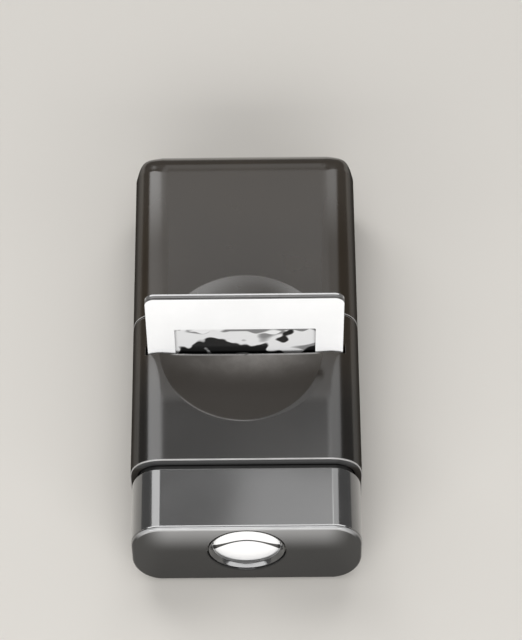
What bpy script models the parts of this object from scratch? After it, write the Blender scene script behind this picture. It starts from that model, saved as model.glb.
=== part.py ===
"""Hand-held slide viewer with a slide standing in its slot.

Metres. +X is to the right, the eyepiece faces -Y and +Z is up. The object stands on Z = 0.
Y sizes are measured from the plane of the slot and moved by SLOT_Y to the row frame.
"""

import math

import bmesh
import bpy
from mathutils import Vector

# Running gap between neighbouring pieces
GAP = 0.0003

# Slide mount, the piece of known size
MOUNT_SIDE = 0.0500
MOUNT_THICK = 0.0019
MOUNT_CORNER = 0.0017
MOUNT_FRONT_THICK = 0.0005
MOUNT_SEAM = 0.0002
MOUNT_SIDE_BORDER = 0.0075
MOUNT_END_BORDER = 0.0135
FILM_MARGIN = 0.0010
FILM_THICK = 0.0002

# Outer body
BODY_HEIGHT = 0.0270
BODY_CORNER = 0.0075
RIM_ROUND = 0.0005
FRONT_RIM = -0.0335
BACK_PLAN_ROUND = 0.0068
BACK_EDGE_ROUND = 0.0068

# Walls of the body
SIDE_WALL = 0.0018
FLOOR_WALL = 0.0018
ROOF_WALL = 0.0024
BACK_WALL = 0.0020
INNER_CORNER = 0.0055
INNER_PLAN_ROUND = 0.0050
INNER_EDGE_ROUND = 0.0050

# Slot and the shallow dish around it
SLOT_END_CLEARANCE = 0.0006
SLOT_END_WALL = 0.00365
SLOT_FACE_CLEARANCE = 0.00055
DISH_SIDE_INSET = 0.0028
DISH_FRONT = -0.0220
DISH_BACK = 0.0224
DISH_DEPTH = 0.0008
CUT_EXCESS = 0.0020

# Eyepiece block, its neck and the lens in it
FOCUS_GAP = 0.0019
BLOCK_LENGTH = 0.0177
BLOCK_INSET = 0.00045
BLOCK_DROP = 0.0006
BLOCK_LIFT = 0.0009
BLOCK_ROUND = 0.0006
BLOCK_CORNER_X = 0.0075
BLOCK_TOP_CORNER_Z = 0.0090
BLOCK_LOW_CORNER_Z = 0.0105
BLOCK_SIDE_WALL = 0.0018
BLOCK_REAR_WALL = 0.0016
BLOCK_INNER_CORNER = 0.0060
NECK_LENGTH = 0.0234
NECK_WALL = 0.0014
NECK_INNER_CORNER = 0.0038
EYE_TOP_MARGIN = 0.00108
EYE_LOW_MARGIN = 0.00478
BEZEL_DEPTH = 0.0018
BEZEL_LIP = 0.0011
BEZEL_RECESS = 0.0001
LENS_SEAT = 0.00052
LENS_EDGE = 0.0020
LENS_SAG = 0.0009
RETAINER_WIDTH = 0.0012
RETAINER_THICK = 0.0010
RETAINER_PROUD = 0.0001

# Gate that guides the slide
GATE_PLATE = 0.0016
GATE_RAIL_END = 0.0039
GATE_WINDOW_MARGIN = 0.0005
GATE_SILL = 0.0010
MASK_THICK = 0.0004
MASK_SIDE_OVERLAP = 0.0003
MASK_END_OVERLAP = 0.0002
PRESSER_THICK = 0.0003
PRESSER_WIDTH = 0.0024
PRESSER_SPACING = 0.0012
PRESSER_END_MARGIN = 0.0014
DIFFUSER_THICK = 0.0012

# Lamp and its reflector
REFLECTOR_WALL = 0.0008
REFLECTOR_SIDE_MARGIN = 0.0011
REFLECTOR_END_MARGIN = 0.0005
REFLECTOR_BACK_BORDER_X = 0.0033
REFLECTOR_BACK_BORDER_Z = 0.0023
BULB_CLEARANCE = 0.0015
BULB_GLOBE_RADIUS = 0.0046
BULB_NECK_RADIUS = 0.0036
BULB_GLASS_LENGTH = 0.0047
BULB_CAP_PROUD = 0.0002
BULB_CAP_RADIUS = 0.0046
BULB_CAP_LENGTH = 0.0090
BULB_THREADS = 5
BULB_THREAD_DEPTH = 0.0003
BULB_TIP_RADIUS = 0.0018
BULB_TIP_LENGTH = 0.0010
HOLDER_SPACING = 0.0015
HOLDER_DEPTH = 0.0060
HOLDER_WALL = 0.0021

# Tray and cells
TRAY_FLOOR = 0.0008
TRAY_WALL = 0.0012
TRAY_RISE = 0.0051
TRAY_END_WALL = 0.0041
TRAY_BACK_GAP = 0.0005
BAY_CORNER = 0.0030
CHANNEL_FLOOR = 0.0025
PARTITION_THICK = 0.0008
CELL_RADIUS = 0.0071
CELL_MARGIN = 0.0001
CELL_SPACING = 0.0004
CELL_BUTTON_RADIUS = 0.0027
CELL_BUTTON_LENGTH = 0.0012
CELL_SHOULDER = 0.0006

# Stamped contacts
CONTACT_THICK = 0.00035
CONTACT_CHANNEL = 0.0011
CONTACT_RISE = 0.0044
CONTACT_HALF = 0.0045
RUN_HEIGHT = 0.0014
RUN_SPACING = 0.0004
HIGH_RUN_HEIGHT = 0.0056
HIGH_RUN_LIFT = 0.0013
LAMP_TAB_HALF = 0.0025
LAMP_TAB_RISE = 0.0018
LEAF_REACH = 0.0027
LEAF_OFFSET = 0.0025

# Switch plunger
PLUNGER_INSET = 0.0016
PLUNGER_HEAD_RADIUS = 0.0012
PLUNGER_STEM_RADIUS = 0.0008
PLUNGER_HEAD_LENGTH = 0.0020
PLUNGER_LENGTH = 0.0063
PLUNGER_EASE = 0.0004
PLUNGER_TRAVEL = 0.0006

# Case screws
SCREW_SPACING = 0.0007
SCREW_HEAD_RADIUS = 0.0018
SCREW_HEAD_THICK = 0.0006
SCREW_SHANK_RADIUS = 0.0009
SCREW_LENGTH = 0.0050
SCREW_RECESS = 0.0011
BOSS_RADIUS = 0.0022
BOSS_MARGIN = 0.0001
BOSS_HEIGHT = 0.0040
BOSS_ROOT = 0.0001
PARTING_MARGIN = 0.00266

# Mesh fineness
CORNER_STEPS = 8
ROUND_STEPS = 6
CIRCLE_STEPS = 40
SMALL_STEPS = 20
DISH_RINGS = 8
DISH_POWER = 4
BOW_STEPS = 10
SHARP_ANGLE = math.radians(35.0)

# Width of the body and of what fits in it
HALF_MOUNT = MOUNT_SIDE / 2
HALF_BODY = HALF_MOUNT + SLOT_END_CLEARANCE + SLOT_END_WALL
ROOM_HALF = HALF_BODY - SIDE_WALL
FIT_HALF = ROOM_HALF - GAP
FIT_CORNER = INNER_CORNER - GAP
TRAY_INNER = FIT_HALF - TRAY_WALL
CONTACT_OUTER = TRAY_INNER - GAP
CONTACT_INNER = CONTACT_OUTER - CONTACT_THICK
CELL_LENGTH = 2 * (CONTACT_INNER - GAP)
CELL_CAN_LENGTH = CELL_LENGTH - CELL_BUTTON_LENGTH - GAP
HALF_DISH = HALF_MOUNT - DISH_SIDE_INSET
HALF_BLOCK = HALF_BODY - BLOCK_INSET
PLUNGER_X = PLUNGER_INSET - HALF_MOUNT
LEAF_INNER_X = PLUNGER_X + LEAF_REACH
PRESSER_X = -PLUNGER_X - PLUNGER_HEAD_RADIUS - PRESSER_SPACING - PRESSER_WIDTH / 2

# Heights
ROOM_LOW = FLOOR_WALL
ROOM_HIGH = BODY_HEIGHT - ROOF_WALL
ROOM_CENTRE = (ROOM_LOW + ROOM_HIGH) / 2
FIT_LOW = ROOM_LOW + GAP
FIT_HIGH = ROOM_HIGH - GAP
SLIDE_LOW = GAP
SLIDE_CENTRE = SLIDE_LOW + HALF_MOUNT
BLOCK_HIGH = BODY_HEIGHT - BLOCK_DROP
BLOCK_LOW = BLOCK_LIFT
EYE_HOLE_RADIUS = (BLOCK_HIGH - EYE_TOP_MARGIN - BLOCK_LOW - EYE_LOW_MARGIN) / 2
LENS_Z = BLOCK_LOW + EYE_LOW_MARGIN + EYE_HOLE_RADIUS
BEZEL_OUTER = EYE_HOLE_RADIUS - GAP
LENS_RADIUS = BEZEL_OUTER - LENS_SEAT
TRAY_TOP = FIT_LOW + TRAY_FLOOR
TRAY_RIM = ROOM_CENTRE + TRAY_RISE
CHANNEL_TOP = FIT_LOW + CHANNEL_FLOOR
LOW_RUN_Z = CHANNEL_TOP + GAP
CONTACT_LOW = LOW_RUN_Z + RUN_HEIGHT + RUN_SPACING
CONTACT_HIGH = ROOM_CENTRE + CONTACT_RISE
LAMP_TAB_HIGH = ROOM_CENTRE + LAMP_TAB_RISE
HIGH_RUN_Z = TRAY_TOP + BOSS_HEIGHT + HIGH_RUN_LIFT
PLUNGER_Z = HIGH_RUN_Z + HIGH_RUN_HEIGHT / 2

# Windows in the light path
WINDOW_WIDTH = MOUNT_SIDE - 2 * MOUNT_SIDE_BORDER
WINDOW_HEIGHT = MOUNT_SIDE - 2 * MOUNT_END_BORDER
GATE_WINDOW_WIDTH = WINDOW_WIDTH + 2 * GATE_WINDOW_MARGIN
GATE_WINDOW_HEIGHT = ROOM_HIGH - ROOM_LOW - 2 * GATE_SILL
MASK_WINDOW_WIDTH = WINDOW_WIDTH - 2 * MASK_SIDE_OVERLAP
MASK_WINDOW_HEIGHT = GATE_WINDOW_HEIGHT - 2 * MASK_END_OVERLAP
PRESSER_HEIGHT = GATE_WINDOW_HEIGHT - 2 * PRESSER_END_MARGIN
REFLECTOR_MOUTH_X = WINDOW_WIDTH / 2 + REFLECTOR_SIDE_MARGIN
REFLECTOR_MOUTH_Z = GATE_WINDOW_HEIGHT / 2 - REFLECTOR_END_MARGIN
REFLECTOR_HOLE = BULB_CAP_RADIUS + 2 * GAP
REFLECTOR_BACK_X = REFLECTOR_HOLE + REFLECTOR_BACK_BORDER_X
REFLECTOR_BACK_Z = REFLECTOR_HOLE + REFLECTOR_BACK_BORDER_Z
HOLDER_HALF_WIDTH = BULB_CAP_RADIUS + GAP + HOLDER_WALL
SCREW_X = REFLECTOR_MOUTH_X + SCREW_SPACING + BOSS_RADIUS

# Places along the body in front of the slot
BLOCK_REAR = FRONT_RIM - FOCUS_GAP
FRONT_FACE = BLOCK_REAR - BLOCK_LENGTH
NECK_END = BLOCK_REAR + NECK_LENGTH
LENS_FRONT_EDGE = FRONT_FACE + BEZEL_DEPTH + GAP
LENS_BACK_EDGE = LENS_FRONT_EDGE + LENS_EDGE
RETAINER_FRONT = LENS_BACK_EDGE + 2 * GAP
RETAINER_BACK = RETAINER_FRONT + RETAINER_THICK
BLOCK_INNER = RETAINER_BACK - RETAINER_PROUD
BLOCK_ROOM_END = BLOCK_REAR - BLOCK_REAR_WALL
HALF_SLIDE = MOUNT_THICK / 2
HALF_SLOT = HALF_SLIDE + SLOT_FACE_CLEARANCE
MOUNT_PLATE_BACK = MOUNT_FRONT_THICK - HALF_SLIDE
MOUNT_BASE_FRONT = MOUNT_PLATE_BACK + MOUNT_SEAM
FILM_FRONT = MOUNT_PLATE_BACK + GAP
FILM_BACK = FILM_FRONT + FILM_THICK
GATE_SEAT = -(HALF_SLIDE + GAP)
GATE_FRONT = GATE_SEAT - GATE_PLATE
MASK_BACK = GATE_FRONT - GAP

# Places along the body behind the slot
DIFFUSER_FRONT = GATE_RAIL_END + GAP
DIFFUSER_BACK = DIFFUSER_FRONT + DIFFUSER_THICK
TRAY_START = DIFFUSER_BACK + GAP
SCREW_Y = TRAY_START + BOSS_MARGIN + BOSS_RADIUS
PARTING = SCREW_Y + PARTING_MARGIN
REFLECTOR_FRONT = DIFFUSER_BACK + 2 * GAP
BULB_CENTRE = DIFFUSER_BACK + BULB_CLEARANCE + BULB_GLOBE_RADIUS
BULB_CAP_START = BULB_CENTRE + BULB_GLASS_LENGTH
BULB_CAP_END = BULB_CAP_START + BULB_CAP_LENGTH
BULB_TIP_END = BULB_CAP_END + BULB_TIP_LENGTH
REFLECTOR_BACK = BULB_CAP_START - BULB_CAP_PROUD
HOLDER_START = REFLECTOR_BACK + HOLDER_SPACING
HOLDER_END = HOLDER_START + HOLDER_DEPTH
LAMP_STRIP_Y = BULB_TIP_END + GAP / 2
PARTITION_FRONT = LAMP_STRIP_Y + CONTACT_THICK + 2 * GAP
PARTITION_BACK = PARTITION_FRONT + PARTITION_THICK
CELL_BAY_RADIUS = CELL_RADIUS + GAP
CELL_FRONT_Y = PARTITION_BACK + CELL_MARGIN + CELL_BAY_RADIUS
CELL_REAR_Y = CELL_FRONT_Y + 2 * CELL_RADIUS + CELL_SPACING
CELL_BAY_END = CELL_REAR_Y + CELL_BAY_RADIUS
TRAY_END = CELL_BAY_END + TRAY_END_WALL
BACK_END = TRAY_END + TRAY_BACK_GAP + BACK_WALL
PLUNGER_FRONT = HALF_SLIDE + GAP
PLUNGER_END = PLUNGER_FRONT + PLUNGER_LENGTH
LEAF_Y = PLUNGER_END + PLUNGER_TRAVEL
LEAF_SIDE_Y = HOLDER_START + LEAF_OFFSET
FIXED_LEAF_Y = LEAF_Y + CONTACT_THICK + PLUNGER_TRAVEL
SLOT_Y = -(FRONT_FACE + BACK_END) / 2



def clear_scene():
    """Remove every object the scene starts with."""
    for obj in list(bpy.data.objects):
        bpy.data.objects.remove(obj, do_unlink=True)


def plastic(name, colour, roughness):
    """A moulded plastic."""
    return surface(name, colour, roughness, 0.0)


def metal(name, colour, roughness):
    """A bare metal."""
    return surface(name, colour, roughness, 1.0)


def surface(name, colour, roughness, metallic):
    """A Principled material of one colour."""
    material = bpy.data.materials.new(name)
    material.use_nodes = True
    shader = material.node_tree.nodes["Principled BSDF"]
    shader.inputs["Base Color"].default_value = (*colour, 1.0)
    shader.inputs["Roughness"].default_value = roughness
    shader.inputs["Metallic"].default_value = metallic
    material.diffuse_color = (*colour, 1.0)
    return material


def clear_plastic(name, colour, roughness):
    """A see-through moulded plastic."""
    material = surface(name, colour, roughness, 0.0)
    shader = material.node_tree.nodes["Principled BSDF"]
    shader.inputs["Transmission Weight"].default_value = 1.0
    return material


def section_ring(half_width, low, high, corner, y):
    """Points of a rounded rectangle that lies across the body in the plane y."""
    return oval_ring(half_width, low, high, corner, corner, corner, y)


def oval_ring(half_width, low, high, corner_x, top_z, low_z, y):
    """A rectangle across the body with a quarter oval at each corner."""
    centre_x = half_width - corner_x
    corners = (
        (centre_x, high - top_z, top_z),
        (-centre_x, high - top_z, top_z),
        (-centre_x, low + low_z, low_z),
        (centre_x, low + low_z, low_z),
    )
    points = []
    for quarter, (middle_x, middle_z, corner_z) in enumerate(corners):
        for step in range(CORNER_STEPS + 1):
            angle = (quarter + step / CORNER_STEPS) * math.pi / 2
            x = middle_x + corner_x * math.cos(angle)
            z = middle_z + corner_z * math.sin(angle)
            points.append(Vector((x, y, z)))
    return points


def block_rings(y, inward):
    """Two rings that round off an end of the eyepiece block."""
    rings = []
    for ease, place in ((BLOCK_ROUND, y), (0.0, y + inward * BLOCK_ROUND)):
        rings.append(oval_ring(
            HALF_BLOCK - ease, BLOCK_LOW + ease, BLOCK_HIGH - ease, BLOCK_CORNER_X - ease,
            BLOCK_TOP_CORNER_Z - ease, BLOCK_LOW_CORNER_Z - ease, place
        ))
    return rings


def circle_ring(radius, y, axis_x, axis_z, steps):
    """Points of a circle about an axis that runs along Y."""
    points = []
    for step in range(steps):
        angle = 2 * math.pi * step / steps
        x = axis_x + radius * math.cos(angle)
        z = axis_z + radius * math.sin(angle)
        points.append(Vector((x, y, z)))
    return points


def loft(name, rings, material, origin, closed=False):
    """Skin a row of rings; a closed row joins its last ring to its first."""
    bm = bmesh.new()
    rows = []
    for ring in rings:
        rows.append([bm.verts.new(point - origin) for point in ring])
    count = len(rows[0])
    pairs = list(zip(rows, rows[1:]))
    if closed:
        pairs.append((rows[-1], rows[0]))
    for near, far in pairs:
        for i in range(count):
            j = (i + 1) % count
            bm.faces.new((near[i], near[j], far[j], far[i]))
    if not closed:
        bm.faces.new(rows[0])
        bm.faces.new(rows[-1])
    return finish_mesh(name, bm, material, origin)


def finish_mesh(name, bm, material, origin):
    """Turn faces outward, smooth the round ones and place the object."""
    bmesh.ops.recalc_face_normals(bm, faces=bm.faces)
    mesh = bpy.data.meshes.new(name)
    bm.to_mesh(mesh)
    bm.free()
    mesh.polygons.foreach_set("use_smooth", [True] * len(mesh.polygons))
    mesh.set_sharp_from_angle(angle=SHARP_ANGLE)
    obj = bpy.data.objects.new(name, mesh)
    bpy.context.scene.collection.objects.link(obj)
    obj.location = origin + Vector((0, SLOT_Y, 0))
    if material is not None:
        mesh.materials.append(material)
    return obj


def block(name, low, high, material, origin=None):
    """A box between two corners."""
    centre = (Vector(low) + Vector(high)) / 2 if origin is None else origin
    bm = bmesh.new()
    add_box(bm, low, high, centre)
    return finish_mesh(name, bm, material, centre)


def add_box(bm, low, high, origin):
    """Add a box between two corners to a mesh."""
    corners = []
    for x in (low[0], high[0]):
        for y in (low[1], high[1]):
            for z in (low[2], high[2]):
                corners.append(bm.verts.new(Vector((x, y, z)) - origin))
    a, b, c, d, e, f, g, h = corners
    for face in ((a, b, d, c), (e, g, h, f), (a, e, f, b), (c, d, h, g), (a, c, g, e), (b, f, h, d)):
        bm.faces.new(face)


def hide_cutter(obj):
    """Keep a cutting body out of the build."""
    obj.hide_render = True
    obj.display_type = "WIRE"


def cut(obj, cutter):
    """Take the cutter away from an object."""
    join(obj, cutter, "DIFFERENCE")


def fuse(obj, other):
    """Add another body to an object."""
    join(obj, other, "UNION")


def join(obj, other, operation):
    """Combine an object with a hidden body."""
    hide_cutter(other)
    modifier = obj.modifiers.new(other.name, "BOOLEAN")
    modifier.operation = operation
    modifier.solver = "EXACT"
    modifier.object = other


def turned(name, profile, axis_x, axis_z, steps, material):
    """A body of revolution about Y from (radius, y) pairs."""
    rings = [circle_ring(radius, y, axis_x, axis_z, steps) for radius, y in profile]
    middle = (profile[0][1] + profile[-1][1]) / 2
    return loft(name, rings, material, Vector((axis_x, middle, axis_z)))


def turned_ring(name, profile, axis_x, axis_z, steps, material):
    """A ring about Y from a closed row of (radius, y) pairs."""
    rings = [circle_ring(radius, y, axis_x, axis_z, steps) for radius, y in profile]
    origin = Vector((axis_x, profile[0][1], axis_z))
    return loft(name, rings, material, origin, closed=True)


def turned_across(name, profile, axis_y, axis_z, steps, material):
    """A body of revolution about an axis along X from (radius, x) pairs."""
    middle = (profile[0][1] + profile[-1][1]) / 2
    rings = []
    for radius, x in profile:
        ring = circle_ring(radius, 0, axis_y, axis_z, steps)
        rings.append([Vector((x, point.x, point.z)) for point in ring])
    return loft(name, rings, material, Vector((middle, axis_y, axis_z)))


def turned_upright(name, profile, axis_x, axis_y, steps, material):
    """A body of revolution about an upright axis from (radius, z) pairs."""
    rings = []
    for radius, z in profile:
        ring = circle_ring(radius, 0, axis_x, axis_y, steps)
        rings.append([Vector((point.x, point.z, z)) for point in ring])
    return loft(name, rings, material, Vector((axis_x, axis_y, profile[0][1])))


def case_rings(half_width, low, high, corner, start, end, plan_round, edge_round):
    """Rings of a body that runs back from start and is rounded off at its end."""
    rings = [section_ring(half_width, low, high, corner, start)]
    reach = max(plan_round, edge_round)
    for step in range(ROUND_STEPS + 1):
        angle = step / ROUND_STEPS * math.pi / 2
        y = end - reach + reach * math.sin(angle)
        side = rounding_drop(plan_round, end - y)
        edge = rounding_drop(edge_round, end - y)
        ease = min(side, edge)
        rings.append(section_ring(half_width - side, low + edge, high - edge, corner - ease, y))
    return rings


def rounding_drop(radius, distance):
    """How far a rounded edge has fallen in at a distance from its end."""
    if distance >= radius:
        return 0.0
    return radius - math.sqrt(radius * radius - (radius - distance) ** 2)


def rim_rings(half_width, low, high, corner, y, inward):
    """Two rings that round off the edge of an end face; inward is +1 where the body runs to +Y."""
    ease = RIM_ROUND
    return [
        section_ring(half_width - ease, low + ease, high - ease, corner - ease, y),
        section_ring(half_width, low, high, corner, y + inward * ease),
    ]


def dish_cutter(name):
    """The shallow hollow in the roof around the slot."""
    middle = (DISH_FRONT + DISH_BACK) / 2
    half_y = (DISH_BACK - DISH_FRONT) / 2
    spread = (1 + CUT_EXCESS / DISH_DEPTH) ** (1 / DISH_POWER)
    rings = []
    for number in range(1, DISH_RINGS + 1):
        share = spread * number / DISH_RINGS
        z = BODY_HEIGHT - DISH_DEPTH * (1 - share ** DISH_POWER)
        ring = circle_ring(1, 0, 0, 0, CIRCLE_STEPS)
        rings.append([Vector((p.x * HALF_DISH * share, middle + p.z * half_y * share, z)) for p in ring])
    return loft(name, rings, None, Vector((0, middle, BODY_HEIGHT)))


def slot_cutter(name):
    """The way of the slide right through the body."""
    half = HALF_MOUNT + SLOT_END_CLEARANCE
    low = (-half, -HALF_SLOT, -CUT_EXCESS)
    high = (half, HALF_SLOT, BODY_HEIGHT + CUT_EXCESS)
    return block(name, low, high, None)


def build_front_housing(dish, material):
    """Sleeve with the slot; the eyepiece's neck slides in its front end."""
    rear = PARTING - GAP / 2
    outer = rim_rings(HALF_BODY, 0, BODY_HEIGHT, BODY_CORNER, FRONT_RIM, 1)
    outer.append(section_ring(HALF_BODY, 0, BODY_HEIGHT, BODY_CORNER, rear))
    inner = [
        section_ring(ROOM_HALF, ROOM_LOW, ROOM_HIGH, INNER_CORNER, rear),
        section_ring(ROOM_HALF, ROOM_LOW, ROOM_HIGH, INNER_CORNER, FRONT_RIM),
    ]
    housing = loft("front_housing", outer + inner, material, Vector((0, 0, 0)), closed=True)
    cut(housing, slot_cutter("cut_slot"))
    cut(housing, dish)
    for side, number in ((-1, 1), (1, 2)):
        profile = (
            (SCREW_HEAD_RADIUS + GAP, -CUT_EXCESS),
            (SCREW_HEAD_RADIUS + GAP, SCREW_RECESS),
            (SCREW_SHANK_RADIUS + GAP, SCREW_RECESS),
            (SCREW_SHANK_RADIUS + GAP, FLOOR_WALL + CUT_EXCESS),
        )
        name = f"cut_screw_{number}"
        cut(housing, turned_upright(name, profile, side * SCREW_X, SCREW_Y, SMALL_STEPS, None))
    return housing


def build_rear_case(dish, material):
    """Battery cover that pulls off to the rear."""
    front = PARTING + GAP / 2
    outer = case_rings(
        HALF_BODY, 0, BODY_HEIGHT, BODY_CORNER, front, BACK_END, BACK_PLAN_ROUND, BACK_EDGE_ROUND
    )
    inner = case_rings(
        ROOM_HALF, ROOM_LOW, ROOM_HIGH, INNER_CORNER, front, BACK_END - BACK_WALL,
        INNER_PLAN_ROUND, INNER_EDGE_ROUND
    )
    rings = list(reversed(outer)) + inner
    case = loft("rear_case", rings, material, Vector((0, PARTING, 0)))
    cut(case, dish)
    return case


def build_eyepiece_housing(material):
    """Block with the eye hole and the neck that slides in the front housing."""
    origin = Vector((0, BLOCK_REAR, LENS_Z))
    neck_half = FIT_HALF - NECK_WALL
    neck_low = FIT_LOW + NECK_WALL
    neck_high = FIT_HIGH - NECK_WALL
    room_half = HALF_BLOCK - BLOCK_SIDE_WALL
    room_low = BLOCK_LOW + BLOCK_SIDE_WALL
    room_high = BLOCK_HIGH - BLOCK_SIDE_WALL
    rings = [
        section_ring(room_half, room_low, room_high, BLOCK_INNER_CORNER, BLOCK_INNER),
        section_ring(room_half, room_low, room_high, BLOCK_INNER_CORNER, BLOCK_ROOM_END),
        section_ring(neck_half, neck_low, neck_high, NECK_INNER_CORNER, BLOCK_ROOM_END),
        section_ring(neck_half, neck_low, neck_high, NECK_INNER_CORNER, NECK_END),
        section_ring(FIT_HALF, FIT_LOW, FIT_HIGH, FIT_CORNER, NECK_END),
        section_ring(FIT_HALF, FIT_LOW, FIT_HIGH, FIT_CORNER, BLOCK_REAR),
    ]
    rings += block_rings(BLOCK_REAR, -1)
    rings += reversed(block_rings(FRONT_FACE, 1))
    housing = loft("eyepiece_housing", rings, material, origin)
    seat = LENS_FRONT_EDGE - GAP
    profile = (
        (EYE_HOLE_RADIUS + RIM_ROUND, FRONT_FACE - RIM_ROUND),
        (EYE_HOLE_RADIUS + RIM_ROUND, FRONT_FACE),
        (EYE_HOLE_RADIUS, FRONT_FACE + RIM_ROUND),
        (EYE_HOLE_RADIUS, seat),
        (LENS_RADIUS + GAP, seat),
        (LENS_RADIUS + GAP, BLOCK_INNER + CUT_EXCESS),
    )
    cut(housing, turned("cut_eye_hole", profile, 0, LENS_Z, CIRCLE_STEPS, None))
    return housing


def build_lens_bezel(material):
    """Ring around the lens in the front face."""
    front = FRONT_FACE + BEZEL_RECESS
    back = FRONT_FACE + BEZEL_DEPTH
    inner = BEZEL_OUTER - BEZEL_LIP
    profile = (
        (BEZEL_OUTER, back),
        (BEZEL_OUTER, front + RIM_ROUND),
        (BEZEL_OUTER - RIM_ROUND / 2, front + RIM_ROUND / 2),
        (inner, back - RIM_ROUND),
        (inner, back),
    )
    return turned_ring("lens_bezel", profile, 0, LENS_Z, CIRCLE_STEPS, material)


def build_eyepiece_lens(material):
    """Lens with two bowed faces."""
    radius = (LENS_RADIUS ** 2 + LENS_SAG ** 2) / (2 * LENS_SAG)
    profile = []
    for step in range(1, ROUND_STEPS + 1):
        out = LENS_RADIUS * step / ROUND_STEPS
        sag = radius - math.sqrt(radius * radius - out * out)
        profile.append((out, LENS_FRONT_EDGE - LENS_SAG + sag))
    for step in range(ROUND_STEPS, 0, -1):
        out = LENS_RADIUS * step / ROUND_STEPS
        sag = radius - math.sqrt(radius * radius - out * out)
        profile.append((out, LENS_BACK_EDGE + LENS_SAG - sag))
    return turned("eyepiece_lens", profile, 0, LENS_Z, CIRCLE_STEPS, material)


def build_retaining_ring(material):
    """Flat ring in the eye hole that holds the lens from behind."""
    inner = LENS_RADIUS - RETAINER_WIDTH
    profile = (
        (LENS_RADIUS, RETAINER_FRONT),
        (LENS_RADIUS, RETAINER_BACK),
        (inner, RETAINER_BACK),
        (inner, RETAINER_FRONT),
    )
    return turned_ring("lens_retaining_ring", profile, 0, LENS_Z, CIRCLE_STEPS, material)


def room_plate(name, start, end, material):
    """A plate that fills the inside of the body across its length."""
    rings = [
        section_ring(FIT_HALF, FIT_LOW, FIT_HIGH, FIT_CORNER, start),
        section_ring(FIT_HALF, FIT_LOW, FIT_HIGH, FIT_CORNER, end),
    ]
    return loft(name, rings, material, Vector((0, start, ROOM_CENTRE)))


def window_cutter(name, width, height, start, end):
    """A rectangular window through a plate."""
    low = (-width / 2, start - CUT_EXCESS, ROOM_CENTRE - height / 2)
    high = (width / 2, end + CUT_EXCESS, ROOM_CENTRE + height / 2)
    return block(name, low, high, None)


def build_gate_frame(material):
    """Frame with a window in front of the slide and a rail at each edge of it."""
    gate = room_plate("gate_frame", GATE_FRONT, GATE_RAIL_END, material)
    half = HALF_MOUNT + GAP
    low = (-half, GATE_SEAT, -CUT_EXCESS)
    high = (half, GATE_RAIL_END + CUT_EXCESS, BODY_HEIGHT)
    cut(gate, block("cut_gate_channel", low, high, None))
    cut(gate, window_cutter(
        "cut_gate_window", GATE_WINDOW_WIDTH, GATE_WINDOW_HEIGHT, GATE_FRONT, GATE_SEAT
    ))
    return gate


def build_aperture_mask(material):
    """Thin blackened sheet that frames the picture."""
    front = MASK_BACK - MASK_THICK
    mask = room_plate("aperture_mask", front, MASK_BACK, material)
    cut(mask, window_cutter(
        "cut_mask_window", MASK_WINDOW_WIDTH, MASK_WINDOW_HEIGHT, front, MASK_BACK
    ))
    return mask


def build_presser(name, side, material):
    """Bowed leaf spring that presses the slide onto the gate."""
    near = HALF_SLIDE + GAP
    far = GATE_RAIL_END - PRESSER_THICK
    left = side * PRESSER_X - PRESSER_WIDTH / 2
    right = side * PRESSER_X + PRESSER_WIDTH / 2
    rings = []
    for step in range(BOW_STEPS + 1):
        share = 2 * step / BOW_STEPS - 1
        y = near + (far - near) * share * share
        z = ROOM_CENTRE + share * PRESSER_HEIGHT / 2
        back = y + PRESSER_THICK
        rings.append([
            Vector((left, y, z)),
            Vector((right, y, z)),
            Vector((right, back, z)),
            Vector((left, back, z)),
        ])
    return loft(name, rings, material, Vector((side * PRESSER_X, far, ROOM_CENTRE)))


def build_diffuser(material):
    """Milky plate between the lamp and the slide."""
    plate = room_plate("diffuser", DIFFUSER_FRONT, DIFFUSER_BACK, material)
    radius = PLUNGER_HEAD_RADIUS + GAP
    profile = ((radius, DIFFUSER_FRONT - CUT_EXCESS), (radius, DIFFUSER_BACK + CUT_EXCESS))
    cut(plate, turned("cut_plunger", profile, PLUNGER_X, PLUNGER_Z, SMALL_STEPS, None))
    return plate


def rectangle_ring(half_x, half_z, y):
    """Points of a plain rectangle about the middle of the inside."""
    return [
        Vector((half_x, y, ROOM_CENTRE + half_z)),
        Vector((-half_x, y, ROOM_CENTRE + half_z)),
        Vector((-half_x, y, ROOM_CENTRE - half_z)),
        Vector((half_x, y, ROOM_CENTRE - half_z)),
    ]


def build_reflector(material):
    """White funnel around the lamp, open towards the slide."""
    wall = REFLECTOR_WALL
    rings = [
        rectangle_ring(REFLECTOR_BACK_X, REFLECTOR_BACK_Z, REFLECTOR_BACK),
        rectangle_ring(REFLECTOR_MOUTH_X, REFLECTOR_MOUTH_Z, REFLECTOR_FRONT),
        rectangle_ring(REFLECTOR_MOUTH_X - wall, REFLECTOR_MOUTH_Z - wall, REFLECTOR_FRONT),
        rectangle_ring(REFLECTOR_BACK_X - wall, REFLECTOR_BACK_Z - wall, REFLECTOR_BACK - wall),
    ]
    origin = Vector((0, REFLECTOR_FRONT, ROOM_CENTRE))
    reflector = loft("reflector", rings, material, origin)
    profile = (
        (REFLECTOR_HOLE, REFLECTOR_BACK - wall - CUT_EXCESS),
        (REFLECTOR_HOLE, REFLECTOR_BACK + CUT_EXCESS),
    )
    cut(reflector, turned("cut_reflector", profile, 0, ROOM_CENTRE, SMALL_STEPS, None))
    return reflector


def build_bulb_glass(material):
    """Globe and neck of the lamp."""
    profile = []
    stop = math.asin(BULB_NECK_RADIUS / BULB_GLOBE_RADIUS)
    for step in range(1, CORNER_STEPS + 1):
        angle = (math.pi - stop) * step / CORNER_STEPS
        radius = BULB_GLOBE_RADIUS * math.sin(angle)
        profile.append((radius, BULB_CENTRE - BULB_GLOBE_RADIUS * math.cos(angle)))
    profile.append((BULB_NECK_RADIUS, BULB_CAP_START - GAP))
    return turned("bulb_glass", profile, 0, ROOM_CENTRE, SMALL_STEPS, material)


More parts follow.
